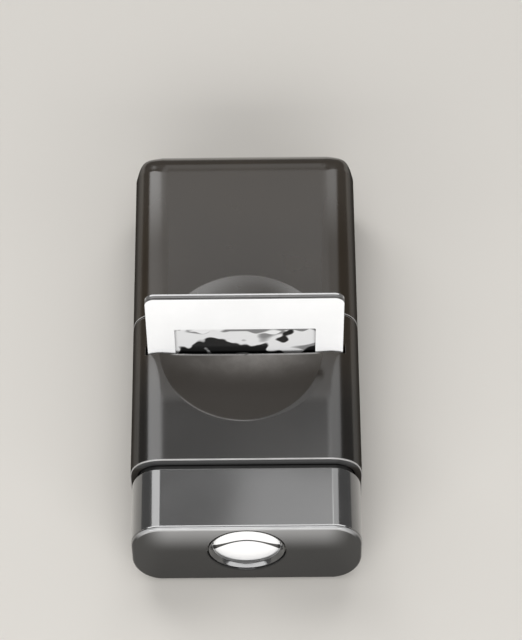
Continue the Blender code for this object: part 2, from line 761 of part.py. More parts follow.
def build_bulb_cap(material):
    """Threaded cap of the lamp with its end contact."""
    pitch = BULB_CAP_LENGTH / BULB_THREADS
    root = BULB_CAP_RADIUS - BULB_THREAD_DEPTH
    profile = [(root, BULB_CAP_START)]
    for turn in range(BULB_THREADS):
        start = BULB_CAP_START + pitch * turn
        profile.append((BULB_CAP_RADIUS, start + pitch / 2))
        profile.append((root, start + pitch))
    profile.append((BULB_TIP_RADIUS, BULB_CAP_END + GAP))
    profile.append((BULB_TIP_RADIUS, BULB_TIP_END))
    return turned("bulb_cap", profile, 0, ROOM_CENTRE, SMALL_STEPS, material)


def build_lamp_holder(material):
    """Block that the lamp's cap screws into."""
    top = 2 * ROOM_CENTRE - TRAY_TOP - GAP
    low = (-HOLDER_HALF_WIDTH, HOLDER_START, TRAY_TOP + GAP)
    high = (HOLDER_HALF_WIDTH, HOLDER_END, top)
    holder = block("lamp_holder", low, high, material)
    radius = BULB_CAP_RADIUS + GAP
    profile = ((radius, HOLDER_START - CUT_EXCESS), (radius, HOLDER_END + CUT_EXCESS))
    cut(holder, turned("cut_holder", profile, 0, ROOM_CENTRE, SMALL_STEPS, None))
    return holder


def build_battery_tray(material):
    """Chassis behind the gate that carries the lamp and the cells."""
    rings = case_rings(
        FIT_HALF, FIT_LOW, FIT_HIGH, FIT_CORNER, TRAY_START, TRAY_END,
        INNER_PLAN_ROUND - GAP, INNER_EDGE_ROUND - GAP
    )
    tray = loft("battery_tray", rings, material, Vector((0, TRAY_START, FIT_LOW)))
    wide = FIT_HALF + CUT_EXCESS
    top = BODY_HEIGHT
    ends = TRAY_INNER - CONTACT_CHANNEL
    cut(tray, block(
        "cut_tray_top", (-wide, 0, TRAY_RIM), (wide, BACK_END, top), None
    ))
    bay = [
        section_ring(TRAY_INNER, TRAY_TOP, top, BAY_CORNER, 0),
        section_ring(TRAY_INNER, TRAY_TOP, top, BAY_CORNER, PARTITION_FRONT),
    ]
    cut(tray, loft("cut_lamp_bay", bay, None, Vector((0, 0, TRAY_TOP))))
    cut(tray, block(
        "cut_cell_bay", (-TRAY_INNER, PARTITION_BACK, ROOM_CENTRE), (TRAY_INNER, CELL_BAY_END, top),
        None
    ))
    for side, number in ((-1, 1), (1, 2)):
        near = min(side * ends, side * TRAY_INNER)
        far = max(side * ends, side * TRAY_INNER)
        cut(tray, block(
            f"cut_contact_{number}", (near, PARTITION_FRONT - CUT_EXCESS, CHANNEL_TOP),
            (far, CELL_BAY_END, top), None
        ))
    profile = ((CELL_BAY_RADIUS, -ends), (CELL_BAY_RADIUS, ends))
    for number, y in enumerate((CELL_FRONT_Y, CELL_REAR_Y), start=1):
        cut(tray, turned_across(f"cut_cell_{number}", profile, y, ROOM_CENTRE, CIRCLE_STEPS, None))
    for side, number in ((-1, 1), (1, 2)):
        post = (
            (BOSS_RADIUS, TRAY_TOP - BOSS_ROOT),
            (BOSS_RADIUS, TRAY_TOP + BOSS_HEIGHT),
        )
        bore = (
            (SCREW_SHANK_RADIUS + GAP, 0),
            (SCREW_SHANK_RADIUS + GAP, SCREW_RECESS + SCREW_LENGTH),
        )
        x = side * SCREW_X
        fuse(tray, turned_upright(f"add_boss_{number}", post, x, SCREW_Y, SMALL_STEPS, None))
        cut(tray, turned_upright(f"cut_boss_{number}", bore, x, SCREW_Y, SMALL_STEPS, None))
    return tray


def build_cell(name, y, side, material):
    """Can of a cell; side is +1 where its button is on the right."""
    start = -side * CELL_LENGTH / 2
    end = start + side * CELL_CAN_LENGTH
    ease = CELL_SHOULDER
    profile = (
        (CELL_RADIUS - ease, start),
        (CELL_RADIUS, start + side * ease),
        (CELL_RADIUS, end - side * ease),
        (CELL_RADIUS - ease, end),
    )
    return turned_across(name, profile, y, ROOM_CENTRE, CIRCLE_STEPS, material)


def build_cell_button(name, y, side, material):
    """Raised end contact of a cell."""
    end = side * CELL_LENGTH / 2
    start = end - side * CELL_BUTTON_LENGTH
    profile = ((CELL_BUTTON_RADIUS, start), (CELL_BUTTON_RADIUS, end))
    return turned_across(name, profile, y, ROOM_CENTRE, SMALL_STEPS, material)


def build_link_contact(material):
    """Strip at the right that joins both cells."""
    low = (CONTACT_INNER, CELL_FRONT_Y - CONTACT_HALF, CONTACT_LOW)
    high = (CONTACT_OUTER, CELL_REAR_Y + CONTACT_HALF, CONTACT_HIGH)
    return block("cell_link_contact", low, high, material)


def build_switch_contact(material):
    """Strip from the front cell to the fixed side of the switch."""
    front_cell = CELL_FRONT_Y - CONTACT_HALF
    low = (-CONTACT_OUTER, front_cell, CONTACT_LOW)
    high = (-CONTACT_INNER, CELL_FRONT_Y + CONTACT_HALF, CONTACT_HIGH)
    strip = block("switch_contact", low, high, material)
    run_high = HIGH_RUN_Z + HIGH_RUN_HEIGHT
    fuse(strip, block(
        "add_switch_run", (-CONTACT_OUTER, FIXED_LEAF_Y, HIGH_RUN_Z),
        (-CONTACT_INNER, front_cell + CONTACT_HALF, run_high), None
    ))
    fuse(strip, block(
        "add_switch_leaf", (-CONTACT_OUTER, FIXED_LEAF_Y, HIGH_RUN_Z),
        (PLUNGER_X + CONTACT_HALF / 2, FIXED_LEAF_Y + CONTACT_THICK, run_high), None
    ))
    return strip


def build_lamp_contact(material):
    """Strip from the rear cell to the tip of the lamp."""
    low = (-CONTACT_OUTER, CELL_REAR_Y - CONTACT_HALF, LOW_RUN_Z)
    high = (-CONTACT_INNER, CELL_REAR_Y + CONTACT_HALF, CONTACT_HIGH)
    strip = block("lamp_contact", low, high, material)
    run_high = LOW_RUN_Z + RUN_HEIGHT
    lamp_back = LAMP_STRIP_Y + CONTACT_THICK
    fuse(strip, block(
        "add_lamp_run", (-CONTACT_OUTER, LAMP_STRIP_Y, LOW_RUN_Z),
        (-CONTACT_INNER, CELL_REAR_Y, run_high), None
    ))
    fuse(strip, block(
        "add_lamp_cross", (-CONTACT_OUTER, LAMP_STRIP_Y, LOW_RUN_Z),
        (LAMP_TAB_HALF, lamp_back, run_high), None
    ))
    fuse(strip, block(
        "add_lamp_tab", (-LAMP_TAB_HALF, LAMP_STRIP_Y, LOW_RUN_Z),
        (LAMP_TAB_HALF, lamp_back, LAMP_TAB_HIGH), None
    ))
    return strip


def build_switch_leaf(material):
    """Moving leaf of the switch and its lead to the lamp holder."""
    low_z = HIGH_RUN_Z
    high_z = HIGH_RUN_Z + HIGH_RUN_HEIGHT
    inner = LEAF_INNER_X
    strip = block(
        "switch_leaf", (-CONTACT_INNER + GAP, LEAF_Y, low_z),
        (inner, LEAF_Y + CONTACT_THICK, high_z), material
    )
    fuse(strip, block(
        "add_leaf_side", (inner - CONTACT_THICK, LEAF_Y, low_z),
        (inner, LEAF_SIDE_Y + CONTACT_THICK, high_z), None
    ))
    fuse(strip, block(
        "add_leaf_end", (inner - CONTACT_THICK, LEAF_SIDE_Y, low_z),
        (-HOLDER_HALF_WIDTH - GAP, LEAF_SIDE_Y + CONTACT_THICK, high_z), None
    ))
    return strip


def build_plunger(material):
    """Button that the slide pushes back to close the switch."""
    ease = PLUNGER_EASE
    profile = (
        (PLUNGER_HEAD_RADIUS - ease, PLUNGER_FRONT),
        (PLUNGER_HEAD_RADIUS, PLUNGER_FRONT + ease),
        (PLUNGER_HEAD_RADIUS, PLUNGER_END - PLUNGER_HEAD_LENGTH),
        (PLUNGER_STEM_RADIUS, PLUNGER_END - PLUNGER_HEAD_LENGTH),
        (PLUNGER_STEM_RADIUS, PLUNGER_END),
    )
    return turned("switch_plunger", profile, PLUNGER_X, PLUNGER_Z, SMALL_STEPS, material)


def build_screw(name, side, material):
    """Screw that holds the tray from below."""
    head = SCREW_RECESS - SCREW_HEAD_THICK - GAP / 2
    seat = SCREW_RECESS - GAP / 2
    profile = (
        (SCREW_HEAD_RADIUS, head),
        (SCREW_HEAD_RADIUS, seat),
        (SCREW_SHANK_RADIUS, seat),
        (SCREW_SHANK_RADIUS, SCREW_LENGTH),
    )
    return turned_upright(name, profile, side * SCREW_X, SCREW_Y, SMALL_STEPS, material)


def mount_ring(half, corner, y):
    """Outline of the slide mount in the plane y."""
    return section_ring(half, SLIDE_CENTRE - half, SLIDE_CENTRE + half, corner, y)


def mount_plate(name, start, end, material):
    """A plate of the slide mount with the picture's window through it."""
    half = HALF_MOUNT
    rings = [mount_ring(half, MOUNT_CORNER, start), mount_ring(half, MOUNT_CORNER, end)]
    plate = loft(name, rings, material, Vector((0, start, SLIDE_CENTRE)))
    half_x = WINDOW_WIDTH / 2
    half_z = WINDOW_HEIGHT / 2
    cut(plate, block(
        f"cut_window_{name}", (-half_x, start - CUT_EXCESS, SLIDE_CENTRE - half_z),
        (half_x, end + CUT_EXCESS, SLIDE_CENTRE + half_z), None
    ))
    return plate


def build_mount_front(material):
    """Thin plate of the slide mount that faces the eyepiece."""
    return mount_plate("slide_mount_front", -HALF_SLIDE, MOUNT_PLATE_BACK, material)


def build_mount_back(material):
    """Thicker half of the slide mount, with the pocket for the film."""
    frame = mount_plate("slide_mount_back", MOUNT_BASE_FRONT, HALF_SLIDE, material)
    half_x = WINDOW_WIDTH / 2 + FILM_MARGIN + GAP
    half_z = WINDOW_HEIGHT / 2 + FILM_MARGIN + GAP
    cut(frame, block(
        "cut_film_pocket", (-half_x, MOUNT_BASE_FRONT - CUT_EXCESS, SLIDE_CENTRE - half_z),
        (half_x, FILM_BACK + GAP, SLIDE_CENTRE + half_z), None
    ))
    return frame


def build_film(material):
    """The picture in the slide mount."""
    half_x = WINDOW_WIDTH / 2 + FILM_MARGIN
    half_z = WINDOW_HEIGHT / 2 + FILM_MARGIN
    low = (-half_x, FILM_FRONT, SLIDE_CENTRE - half_z)
    high = (half_x, FILM_BACK, SLIDE_CENTRE + half_z)
    return block("film_chip", low, high, material)


def build_body():
    """The outer body, the gate and the case screws."""
    black = plastic("housing_plastic", (0.030, 0.028, 0.026), 0.42)
    dark = plastic("inner_plastic", (0.015, 0.015, 0.015), 0.60)
    steel = metal("screw_steel", (0.55, 0.55, 0.56), 0.35)
    dish = dish_cutter("cut_dish")
    build_front_housing(dish, black)
    build_rear_case(dish, black)
    build_gate_frame(dark)
    build_aperture_mask(plastic("mask_black", (0.010, 0.010, 0.010), 0.70))
    build_battery_tray(dark)
    for name, side in (("case_screw_left", -1), ("case_screw_right", 1)):
        build_screw(name, side, steel)


def build_eyepiece():
    """The sliding block with its lens."""
    build_eyepiece_housing(plastic("eyepiece_plastic", (0.060, 0.058, 0.055), 0.40))
    build_lens_bezel(plastic("bezel_plastic", (0.030, 0.030, 0.030), 0.30))
    build_eyepiece_lens(clear_plastic("lens_acrylic", (0.95, 0.96, 0.97), 0.02))
    build_retaining_ring(plastic("retainer_plastic", (0.020, 0.020, 0.020), 0.55))


def build_lighting():
    """The lamp, what spreads its light, the cells and the contacts."""
    spring = metal("spring_steel", (0.60, 0.60, 0.58), 0.30)
    tin = metal("contact_tin", (0.70, 0.68, 0.62), 0.35)
    sleeve = plastic("cell_sleeve", (0.45, 0.46, 0.47), 0.35)
    for name, side in (("slide_presser_left", -1), ("slide_presser_right", 1)):
        build_presser(name, side, spring)
    build_diffuser(plastic("diffuser_opal", (0.85, 0.85, 0.82), 0.50))
    build_reflector(plastic("reflector_white", (0.80, 0.80, 0.78), 0.45))
    build_bulb_glass(clear_plastic("lamp_glass", (0.92, 0.93, 0.94), 0.05))
    build_bulb_cap(metal("cap_brass", (0.72, 0.56, 0.28), 0.35))
    build_lamp_holder(plastic("holder_plastic", (0.35, 0.33, 0.28), 0.55))
    for place, y, side in (("front", CELL_FRONT_Y, 1), ("rear", CELL_REAR_Y, -1)):
        build_cell(f"cell_{place}", y, side, sleeve)
        build_cell_button(f"cell_{place}_button", y, side, tin)
    build_link_contact(tin)
    build_switch_contact(tin)
    build_lamp_contact(tin)
    build_switch_leaf(tin)
    build_plunger(plastic("plunger_plastic", (0.60, 0.58, 0.52), 0.40))


def build_slide():
    """The slide that stands in the slot."""
    build_mount_front(plastic("mount_white", (0.86, 0.86, 0.85), 0.38))
    build_mount_back(plastic("mount_grey", (0.10, 0.10, 0.10), 0.30))
    build_film(plastic("film_base", (0.30, 0.30, 0.31), 0.20))


def main():
    """Build the whole viewer."""
    clear_scene()
    build_body()
    build_eyepiece()
    build_lighting()
    build_slide()


main()
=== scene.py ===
"""Looks of the slide viewer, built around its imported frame.

Metres, +Z up, eyepiece towards -Y. Places along Y are measured from the plane of the slot.
"""

import math

import bmesh
import bpy
from mathutils import Matrix, Vector


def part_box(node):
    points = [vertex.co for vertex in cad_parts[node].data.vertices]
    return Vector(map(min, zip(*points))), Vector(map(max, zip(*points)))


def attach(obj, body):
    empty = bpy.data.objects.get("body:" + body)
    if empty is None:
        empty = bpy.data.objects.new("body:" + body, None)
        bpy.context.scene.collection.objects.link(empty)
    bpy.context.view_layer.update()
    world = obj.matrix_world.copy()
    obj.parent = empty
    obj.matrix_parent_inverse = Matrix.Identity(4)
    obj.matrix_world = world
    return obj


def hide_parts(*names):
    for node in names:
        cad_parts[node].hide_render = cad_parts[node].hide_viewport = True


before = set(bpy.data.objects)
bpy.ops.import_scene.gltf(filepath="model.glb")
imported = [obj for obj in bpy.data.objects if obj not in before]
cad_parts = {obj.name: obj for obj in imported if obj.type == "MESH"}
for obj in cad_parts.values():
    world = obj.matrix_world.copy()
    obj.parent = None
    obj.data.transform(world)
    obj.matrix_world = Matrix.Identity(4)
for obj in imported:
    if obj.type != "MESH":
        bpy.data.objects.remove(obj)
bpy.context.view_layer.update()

# Axes, tolerances, and how far a cutting body reaches past what it cuts
X, Y, Z = range(3)
FULL_TURN = 2 * math.pi
SAME_PLACE = 1e-6
PARALLEL = 0.99
CIRCULAR = 0.5
EXCESS = 0.0020

# Body: front housing and rear case, with the room inside
SLOT_Y = -0.00555
BODY_HALF = 0.02925
BODY_HIGH = 0.0270
BODY_CORNER = 0.0092
FRONT_RIM = -0.0335
FRONT_RIM_EDGE = 0.0004
PARTING = 0.01066
PARTING_HALF_GAP = 0.00015
PARTING_EDGE = 0.00022
BACK_END = 0.0642
BACK_ROUND = 0.0083
ROOM_HALF = 0.02745
ROOM_LOW = 0.0018
ROOM_HIGH = 0.0246
ROOM_CORNER = 0.0055
ROOM_BACK = 0.0622
ROOM_BACK_ROUND = 0.0050

# Slot and dish
SLOT_HALF_WIDTH = 0.0256
SLOT_EDGE = 0.0002
DISH_HALF_WIDTH = 0.0222
DISH_FRONT = -0.0220
DISH_BACK = 0.0224
DISH_MIDDLE = (DISH_FRONT + DISH_BACK) / 2
DISH_HALF_LENGTH = (DISH_BACK - DISH_FRONT) / 2
DISH_DEPTH = 0.0008
DISH_POWER = 4
DISH_STEPS = 40

# Sizes that differ a little from the frame's, to match the photograph
CORNER_FULLNESS = 0.58
BACK_PLAN_ROUND = 0.0058
SLOT_HALF_THICK = 0.0013
SLIDE_CORNER = 0.0024
WINDOW_HALF_X = 0.0179

# Eyepiece: block, groove, neck and hollows
BLOCK_HALF = 0.0288
BLOCK_LOW = 0.0009
BLOCK_HIGH = 0.0264
BLOCK_MIDDLE_Z = (BLOCK_LOW + BLOCK_HIGH) / 2
BLOCK_FRONT = -0.0531
BLOCK_REAR = -0.0354
BLOCK_CORNER = 0.0075
BLOCK_TOP_STRETCH = 1.2
BLOCK_LOW_STRETCH = 1.4
BLOCK_FRONT_EDGE = 0.0007
BLOCK_REAR_EDGE = 0.0005
GROOVE_START = -0.0524
GROOVE_WIDTH = 0.0005
GROOVE_DEPTH = 0.00022
NECK_HALF = 0.02715
NECK_LOW = 0.0021
NECK_HIGH = 0.0243
NECK_CORNER = 0.0052
NECK_END = -0.0120
HOLLOW_LOWEST = (-0.0270, -0.0475, 0.0027)
HOLLOW_HIGHEST = (0.0270, -0.0370, 0.0246)
HOLLOW_CORNER = 0.0060
BORE_LOWEST = (-0.02575, -0.0470, 0.0035)
BORE_HIGHEST = (0.02575, NECK_END + EXCESS, 0.0229)
BORE_CORNER = 0.0038

# Eye hole, bezel (radius and depth behind the block's face) and lens
LENS_Z = 0.0155
EYE_RADIUS = 0.00982
EYE_FLARE = 0.0005
EYE_FLARE_BEND = 0.00015
EYE_SEAT_DEPTH = 0.0018
EYE_SEAT_RADIUS = 0.0093
EYE_HOLE_END = -0.0455
BEZEL_PROFILE = (
    (0.00950, EYE_SEAT_DEPTH), (0.00952, 0.00045), (0.00944, 0.00030), (0.00930, 0.00025),
    (0.00918, 0.00030), (0.00848, 0.00105), (0.00842, 0.00125), (0.00842, EYE_SEAT_DEPTH),
)
LENS_RADIUS = 0.0090
LENS_SAG = 0.0009
LENS_DEPTH = 0.0021
LENS_THICK = 0.0020
LENS_STEPS = 16
RETAINER_WALL = 0.0012
NOTCH_HALF_WIDTH = 0.0005
NOTCH_DEPTH = 0.0004

# Slide
SLIDE_HALF = 0.0250
SLIDE_LOW = 0.0003
SLIDE_MIDDLE = SLIDE_LOW + SLIDE_HALF
SLIDE_FRONT = -0.00095
SLIDE_PLATE_BACK = -0.00045
SLIDE_BASE_FRONT = -0.00025
SLIDE_BACK = 0.00095
WINDOW_HALF_Z = 0.0115
WINDOW_CORNER = 0.0003

# Cells and lamp
CELL_HALF_LENGTH = 0.0250
CELL_RADIUS = 0.0071
CELL_SLEEVE_WALL = 0.0013
CELL_CAN_END = 0.0235
CELL_NIPPLE_RADIUS = 0.0027
CELL_BAND_START = 0.0150
CELL_LINE_START = 0.0138
CELL_LINE_END = 0.0143
CELL_PRINT_EDGE = 0.0001
LAMP_Z = 0.0132
BULB_CAP_START = 0.0162
BULB_CAP_END = 0.0252
BULB_CAP_PLAIN_END = 0.0012
BULB_CAP_RADIUS = 0.0046
BULB_THREADS = 5
BULB_THREAD_STEPS = 8
BULB_THREAD_DEPTH = 0.0004
BULB_TIP_RADIUS = 0.0018
BULB_TIP_END = 0.0262

# Screws and their recesses
SCREW_X = 0.0215
SCREW_Y = 0.0080
SCREW_HEAD_LOW = 0.00035
SCREW_HEAD_HIGH = 0.00095
SCREW_HEAD_RADIUS = 0.0018
SCREW_SHANK_RADIUS = 0.0009
SCREW_TIP = 0.0050
SCREW_THREADS = 5
SCREW_PITCH = 0.0006
SCREW_HOLE_RADIUS = 0.0012
RECESS_RADIUS = 0.0021
RECESS_DEPTH = 0.0011
CROSS_LENGTH = 0.0020
CROSS_WIDTH = 0.00045
CROSS_DEPTH = 0.00035

# Which faces count as worn edges; the finishes paint them lighter, as wear and as painted
# highlights
CREST = "crest"
CREST_WIDTH = 0.00045
CREST_ANGLE = math.radians(6)
WEAR_HIGHLIGHT_STEEPEST = 0.8
DISH_RIM_MARGIN = 1.03
DISH_RIM_TOLERANCE = 0.01
END_MARGIN = 0.0007

# Where the front of the dish is satin, and where it is rubbed by slides and carries a painted
# reflection of the white slide
SATIN_X = -0.0011
SATIN_HALF_WIDTH = 0.0211
RUB_AND_REFLECTION_X = 0.0015
RUB_AND_REFLECTION_HALF_WIDTH = 0.0260
RUB_AND_REFLECTION_LENGTH = 0.0130

# The painted dark line in the lens's painted reflection: height, bend, width and how it widens
# outwards
LENS_LINE_HIGH = 0.0029
LENS_LINE_BEND = 80.0
LENS_LINE_WIDTH = 0.0003
LENS_LINE_WIDENING = 400000.0

# Floor, and soft lights: name, direction from the object, width, depth and radiance
FLOOR_SIDE = 4.0
FLOOR_COLOUR = (0.68, 0.655, 0.615, 1.0)
WORLD_STRENGTH = 0.17
LIGHT_DISTANCE = 1.3
LIGHT_TARGET = (0, 0, 0.015)
LIGHTS = (
    ("left_strip", (-0.405, 0.539, 0.738), 0.52, 1.0, 2.7),
    ("right_strip", (0.309, 0.539, 0.784), 0.46, 1.0, 1.6),
    ("left_fade", (-0.15, 0.539, 0.829), 0.13, 1.0, 0.4),
    ("right_fade", (0.115, 0.539, 0.835), 0.08, 1.0, 0.3),
    ("low_band", (-0.03, 0.780, 0.625), 0.42, 0.36, 0.6),
    ("back_band", (-0.03, 0.595, 0.803), 0.42, 0.16, 0.95),
    ("centre_band", (-0.03, 0.507, 0.861), 0.42, 0.12, 0.10),
    ("block_panel", (0.06, 0.43, 0.90), 0.20, 0.14, 1.35),
    ("high_panel", (0.0, 0.27, 0.96), 0.5, 0.3, 1.5),
    ("ceiling", (0.0, -0.24, 0.97), 1.0, 0.8, 1.5),
    ("front_box", (0.0, -0.906, 0.42), 2.4, 0.6, 4.6),
)

# Camera
CAMERA_AZIMUTH = math.radians(0.75)
CAMERA_ELEVATION = math.radians(57.39)
CAMERA_ROLL = math.radians(-1.18)
CAMERA_DISTANCE = 0.732
CAMERA_TARGET = (0, -0.005, BODY_HIGH - 0.005)
CAMERA_SENSOR = 36.0
CAMERA_LENS = 160.26
CAMERA_SHIFT = (0.02395, 0.0850)
CAMERA_NEAREST = 0.01


def at(x, y, z):
    """A point in the scene from a place measured from the slot."""
    return Vector((x, y + SLOT_Y, z))


# Selecting and shaping

def only(obj):
    """Select one object and make it active."""
    bpy.ops.object.select_all(action="DESELECT")
    obj.select_set(True)
    bpy.context.view_layer.objects.active = obj


def settled(name):
    """The object just added, named, with its place and size moved into its mesh."""
    obj = bpy.context.active_object
    obj.name = name
    obj.data.name = name
    only(obj)
    bpy.ops.object.transform_apply(location=True, rotation=True, scale=True)
    return obj


def add_box(name, low, high):
    """A box between two corners."""
    low = at(*low)
    high = at(*high)
    bpy.ops.object.select_all(action="DESELECT")
    bpy.ops.mesh.primitive_cube_add(size=1, location=(low + high) / 2, scale=high - low)
    return settled(name)


def pick(obj, kind, test):
    """Enter edit mode with only the elements that pass the test selected."""
    only(obj)
    bpy.ops.object.mode_set(mode="EDIT")
    bpy.ops.mesh.select_mode(type=kind)
    bpy.ops.mesh.select_all(action="DESELECT")
    mesh = bmesh.from_edit_mesh(obj.data)
    elements = {"VERT": mesh.verts, "EDGE": mesh.edges, "FACE": mesh.faces}[kind]
    for element in elements:
        if test(element):
            element.select_set(True)
    mesh.select_flush_mode()
    bmesh.update_edit_mesh(obj.data)


def pick_all(obj):
    """Enter edit mode with everything selected."""
    only(obj)
    bpy.ops.object.mode_set(mode="EDIT")
    bpy.ops.mesh.select_all(action="SELECT")


def leave():
    """Go back to object mode."""
    bpy.ops.object.mode_set(mode="OBJECT")


def bevel(obj, test, width, segments, fullness=CIRCULAR):
    """Round off the edges that pass the test."""
    pick(obj, "EDGE", test)
    bpy.ops.mesh.bevel(
        offset=width, offset_type="OFFSET", segments=segments, profile=fullness, affect="EDGES"
    )
    leave()


def along(axis):
    """A test for edges that run along an axis."""
    def test(edge):
        way = edge.verts[1].co - edge.verts[0].co
        return abs(way[axis]) > PARALLEL * way.length
    return test


def in_plane(axis, place):
    """A test for edges that lie in a plane across an axis."""
    def test(edge):
        return all(abs(vert.co[axis] - place) < SAME_PLACE for vert in edge.verts)
    return test


def apply_all(obj):
    """Apply every modifier of an object."""
    only(obj)
    for modifier in list(obj.modifiers):
        bpy.ops.object.modifier_apply(modifier=modifier.name)


def combine(obj, other, operation):
    """Add a body to an object or take it away, and remove the other."""
    modifier = obj.modifiers.new("combine", "BOOLEAN")
    modifier.operation = operation
    modifier.solver = "EXACT"
    modifier.object = other
    apply_all(obj)
    bpy.data.objects.remove(other, do_unlink=True)


def carve(obj, *cutters):
    """Take bodies away from an object."""
    for cutter in cutters:
        combine(obj, cutter, "DIFFERENCE")


def spun(name, points, middle, axis, steps=96):
    """Spin a row of (radius, distance) points around an axis through the middle."""
    way = Vector([float(axis == other) for other in (X, Y, Z)])
    out = Vector((1, 0, 0)) if axis == Z else Vector((0, 0, 1))
    places = [middle + way * distance + out * radius for radius, distance in points]
    bpy.ops.object.select_all(action="DESELECT")
    bpy.ops.mesh.primitive_plane_add(size=0.001, location=places[0])
    obj = settled(name)
    bpy.ops.object.mode_set(mode="EDIT")
    bpy.ops.mesh.select_mode(type="VERT")
    bpy.ops.mesh.select_all(action="SELECT")
    bpy.ops.mesh.merge(type="CENTER")
    for before, after in zip(places, places[1:]):
        bpy.ops.mesh.extrude_region_move(TRANSFORM_OT_translate={"value": after - before})
    bpy.ops.mesh.select_all(action="SELECT")
    bpy.ops.mesh.spin(steps=steps, angle=FULL_TURN, center=middle, axis=way)
    bpy.ops.mesh.select_all(action="SELECT")
    bpy.ops.mesh.remove_doubles(threshold=SAME_PLACE)
    bpy.ops.mesh.normals_make_consistent(inside=False)
    leave()
    return obj


def ring_points(points):
    """Close a row of points so that the spun body is a ring."""
    return points + [points[0]]


def soften(obj, width):
    """Round off every sharp edge a little."""
    modifier = obj.modifiers.new("soften", "BEVEL")
    modifier.width = width
    modifier.segments = 3
    modifier.limit_method = "ANGLE"
    modifier.angle_limit = math.radians(35)
    modifier.use_clamp_overlap = True
    apply_all(obj)


def smooth(obj, angle=30.0):
    """Shade round parts smooth and keep real edges."""
    only(obj)
    bpy.ops.object.shade_smooth_by_angle(angle=math.radians(angle))


def copied(obj, name):
    """A copy of a piece with its own mesh."""
    only(obj)
    bpy.ops.object.duplicate(linked=False)
    return settled(name)


def turned_about(obj, middle):
    """Turn a piece end for end about an upright line."""
    pick_all(obj)
    bpy.ops.transform.rotate(value=math.pi, orient_axis="Z", center_override=middle)
    leave()
    return obj


def middle_of(*nodes):
    """Middle of the box around some frame nodes."""
    corners = [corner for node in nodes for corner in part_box(node)]
    low = Vector([min(corner[axis] for corner in corners) for axis in (X, Y, Z)])
    high = Vector([max(corner[axis] for corner in corners) for axis in (X, Y, Z)])
    return (low + high) / 2


# Worn edges, painted lighter as wear and as painted highlights

def mark_crests(obj, keep):
    """Mark the narrow rounded outer edges, all of them or those that pass the test."""
    mesh = bmesh.new()
    mesh.from_mesh(obj.data)
    layer = mesh.faces.layers.float.new(CREST)
    corners = [vert.co for vert in mesh.verts]
    middle = {
        axis: (min(spot[axis] for spot in corners) + max(spot[axis] for spot in corners)) / 2
        for axis in (X, Z)
    }
    for face in mesh.faces:
        longest = max(edge.calc_length() for edge in face.edges)
        narrow = face.calc_area() < CREST_WIDTH * longest and longest > CREST_WIDTH
        bends = [edge.calc_face_angle_signed(0) for edge in face.edges]
        bent = max(bends) > CREST_ANGLE and min(bends) > -CREST_ANGLE
        spot = face.calc_center_median()
        outward = sum(face.normal[axis] * (spot[axis] - middle[axis]) for axis in (X, Z)) > 0
        marked = narrow and bent and outward and (keep is None or keep(face))
        face[layer] = 1.0 if marked else 0.0
    mesh.to_mesh(obj.data)
    mesh.free()


def dish_reach(spot):
    """How far out in the dish a point lies, where 1 is the dish's outline."""
    lengthwise = (spot.y - SLOT_Y - DISH_MIDDLE) / DISH_HALF_LENGTH
    return math.hypot(spot.x / DISH_HALF_WIDTH, lengthwise)


def at_an_end(face):
    """A test for faces at the front rim or the parting line, outside the dish."""
    spot = face.calc_center_median()
    in_dish = spot.z > BODY_HIGH - 2 * DISH_DEPTH and dish_reach(spot) < DISH_RIM_MARGIN
    from_rim = abs(spot.y - SLOT_Y - FRONT_RIM)
    from_parting = abs(spot.y - SLOT_Y - PARTING)
    near = min(from_rim, from_parting) < END_MARGIN
    return near and abs(face.normal.y) < WEAR_HIGHLIGHT_STEEPEST and not in_dish


def at_the_front(face):
    """A test for faces near the front of the eyepiece block."""
    return face.calc_center_median().y < (BLOCK_FRONT + BLOCK_REAR) / 2 + SLOT_Y


def crease_rim(obj):
    """Keep the dish's outline crisp in the smooth roof."""
    def on_rim(vert):
        """Whether a point lies on the dish's outline."""
        on_roof = abs(vert.co.z - BODY_HIGH) < SAME_PLACE
        return on_roof and abs(dish_reach(vert.co) - 1) < DISH_RIM_TOLERANCE
    pick(obj, "EDGE", lambda edge: all(on_rim(vert) for vert in edge.verts))
    bpy.ops.mesh.mark_sharp()
    leave()


# Node materials

class Socket:
    """A node's output that can be used in sums."""

    def __init__(self, maker, output):
        self.maker = maker
        self.output = output

    def math(self, operation, *others):
        return self.maker.node("ShaderNodeMath", {"operation": operation}, self, *others)

    def flipped(self, operation, other):
        return self.maker.node("ShaderNodeMath", {"operation": operation}, other, self)

    def __add__(self, other):
        return self.math("ADD", other)

    def __radd__(self, other):
        return self.flipped("ADD", other)

    def __sub__(self, other):
        return self.math("SUBTRACT", other)

    def __rsub__(self, other):
        return self.flipped("SUBTRACT", other)

    def __mul__(self, other):
        return self.math("MULTIPLY", other)

    def __rmul__(self, other):
        return self.flipped("MULTIPLY", other)

    def __pow__(self, other):
        return self.math("POWER", other)

    def __lt__(self, other):
        return self.math("LESS_THAN", other)

    def absolute(self):
        return self.math("ABSOLUTE")

    def most(self, other):
        return self.math("MAXIMUM", other)

    def ramp(self, low, high):
        """0 below low, 1 above high and smooth between."""
        settings = {"interpolation_type": "SMOOTHSTEP"}
        return self.maker.node("ShaderNodeMapRange", settings, self, low, high)

    def fade(self, low, high):
        """1 below low, 0 above high and smooth between."""
        return 1 - self.ramp(low, high)


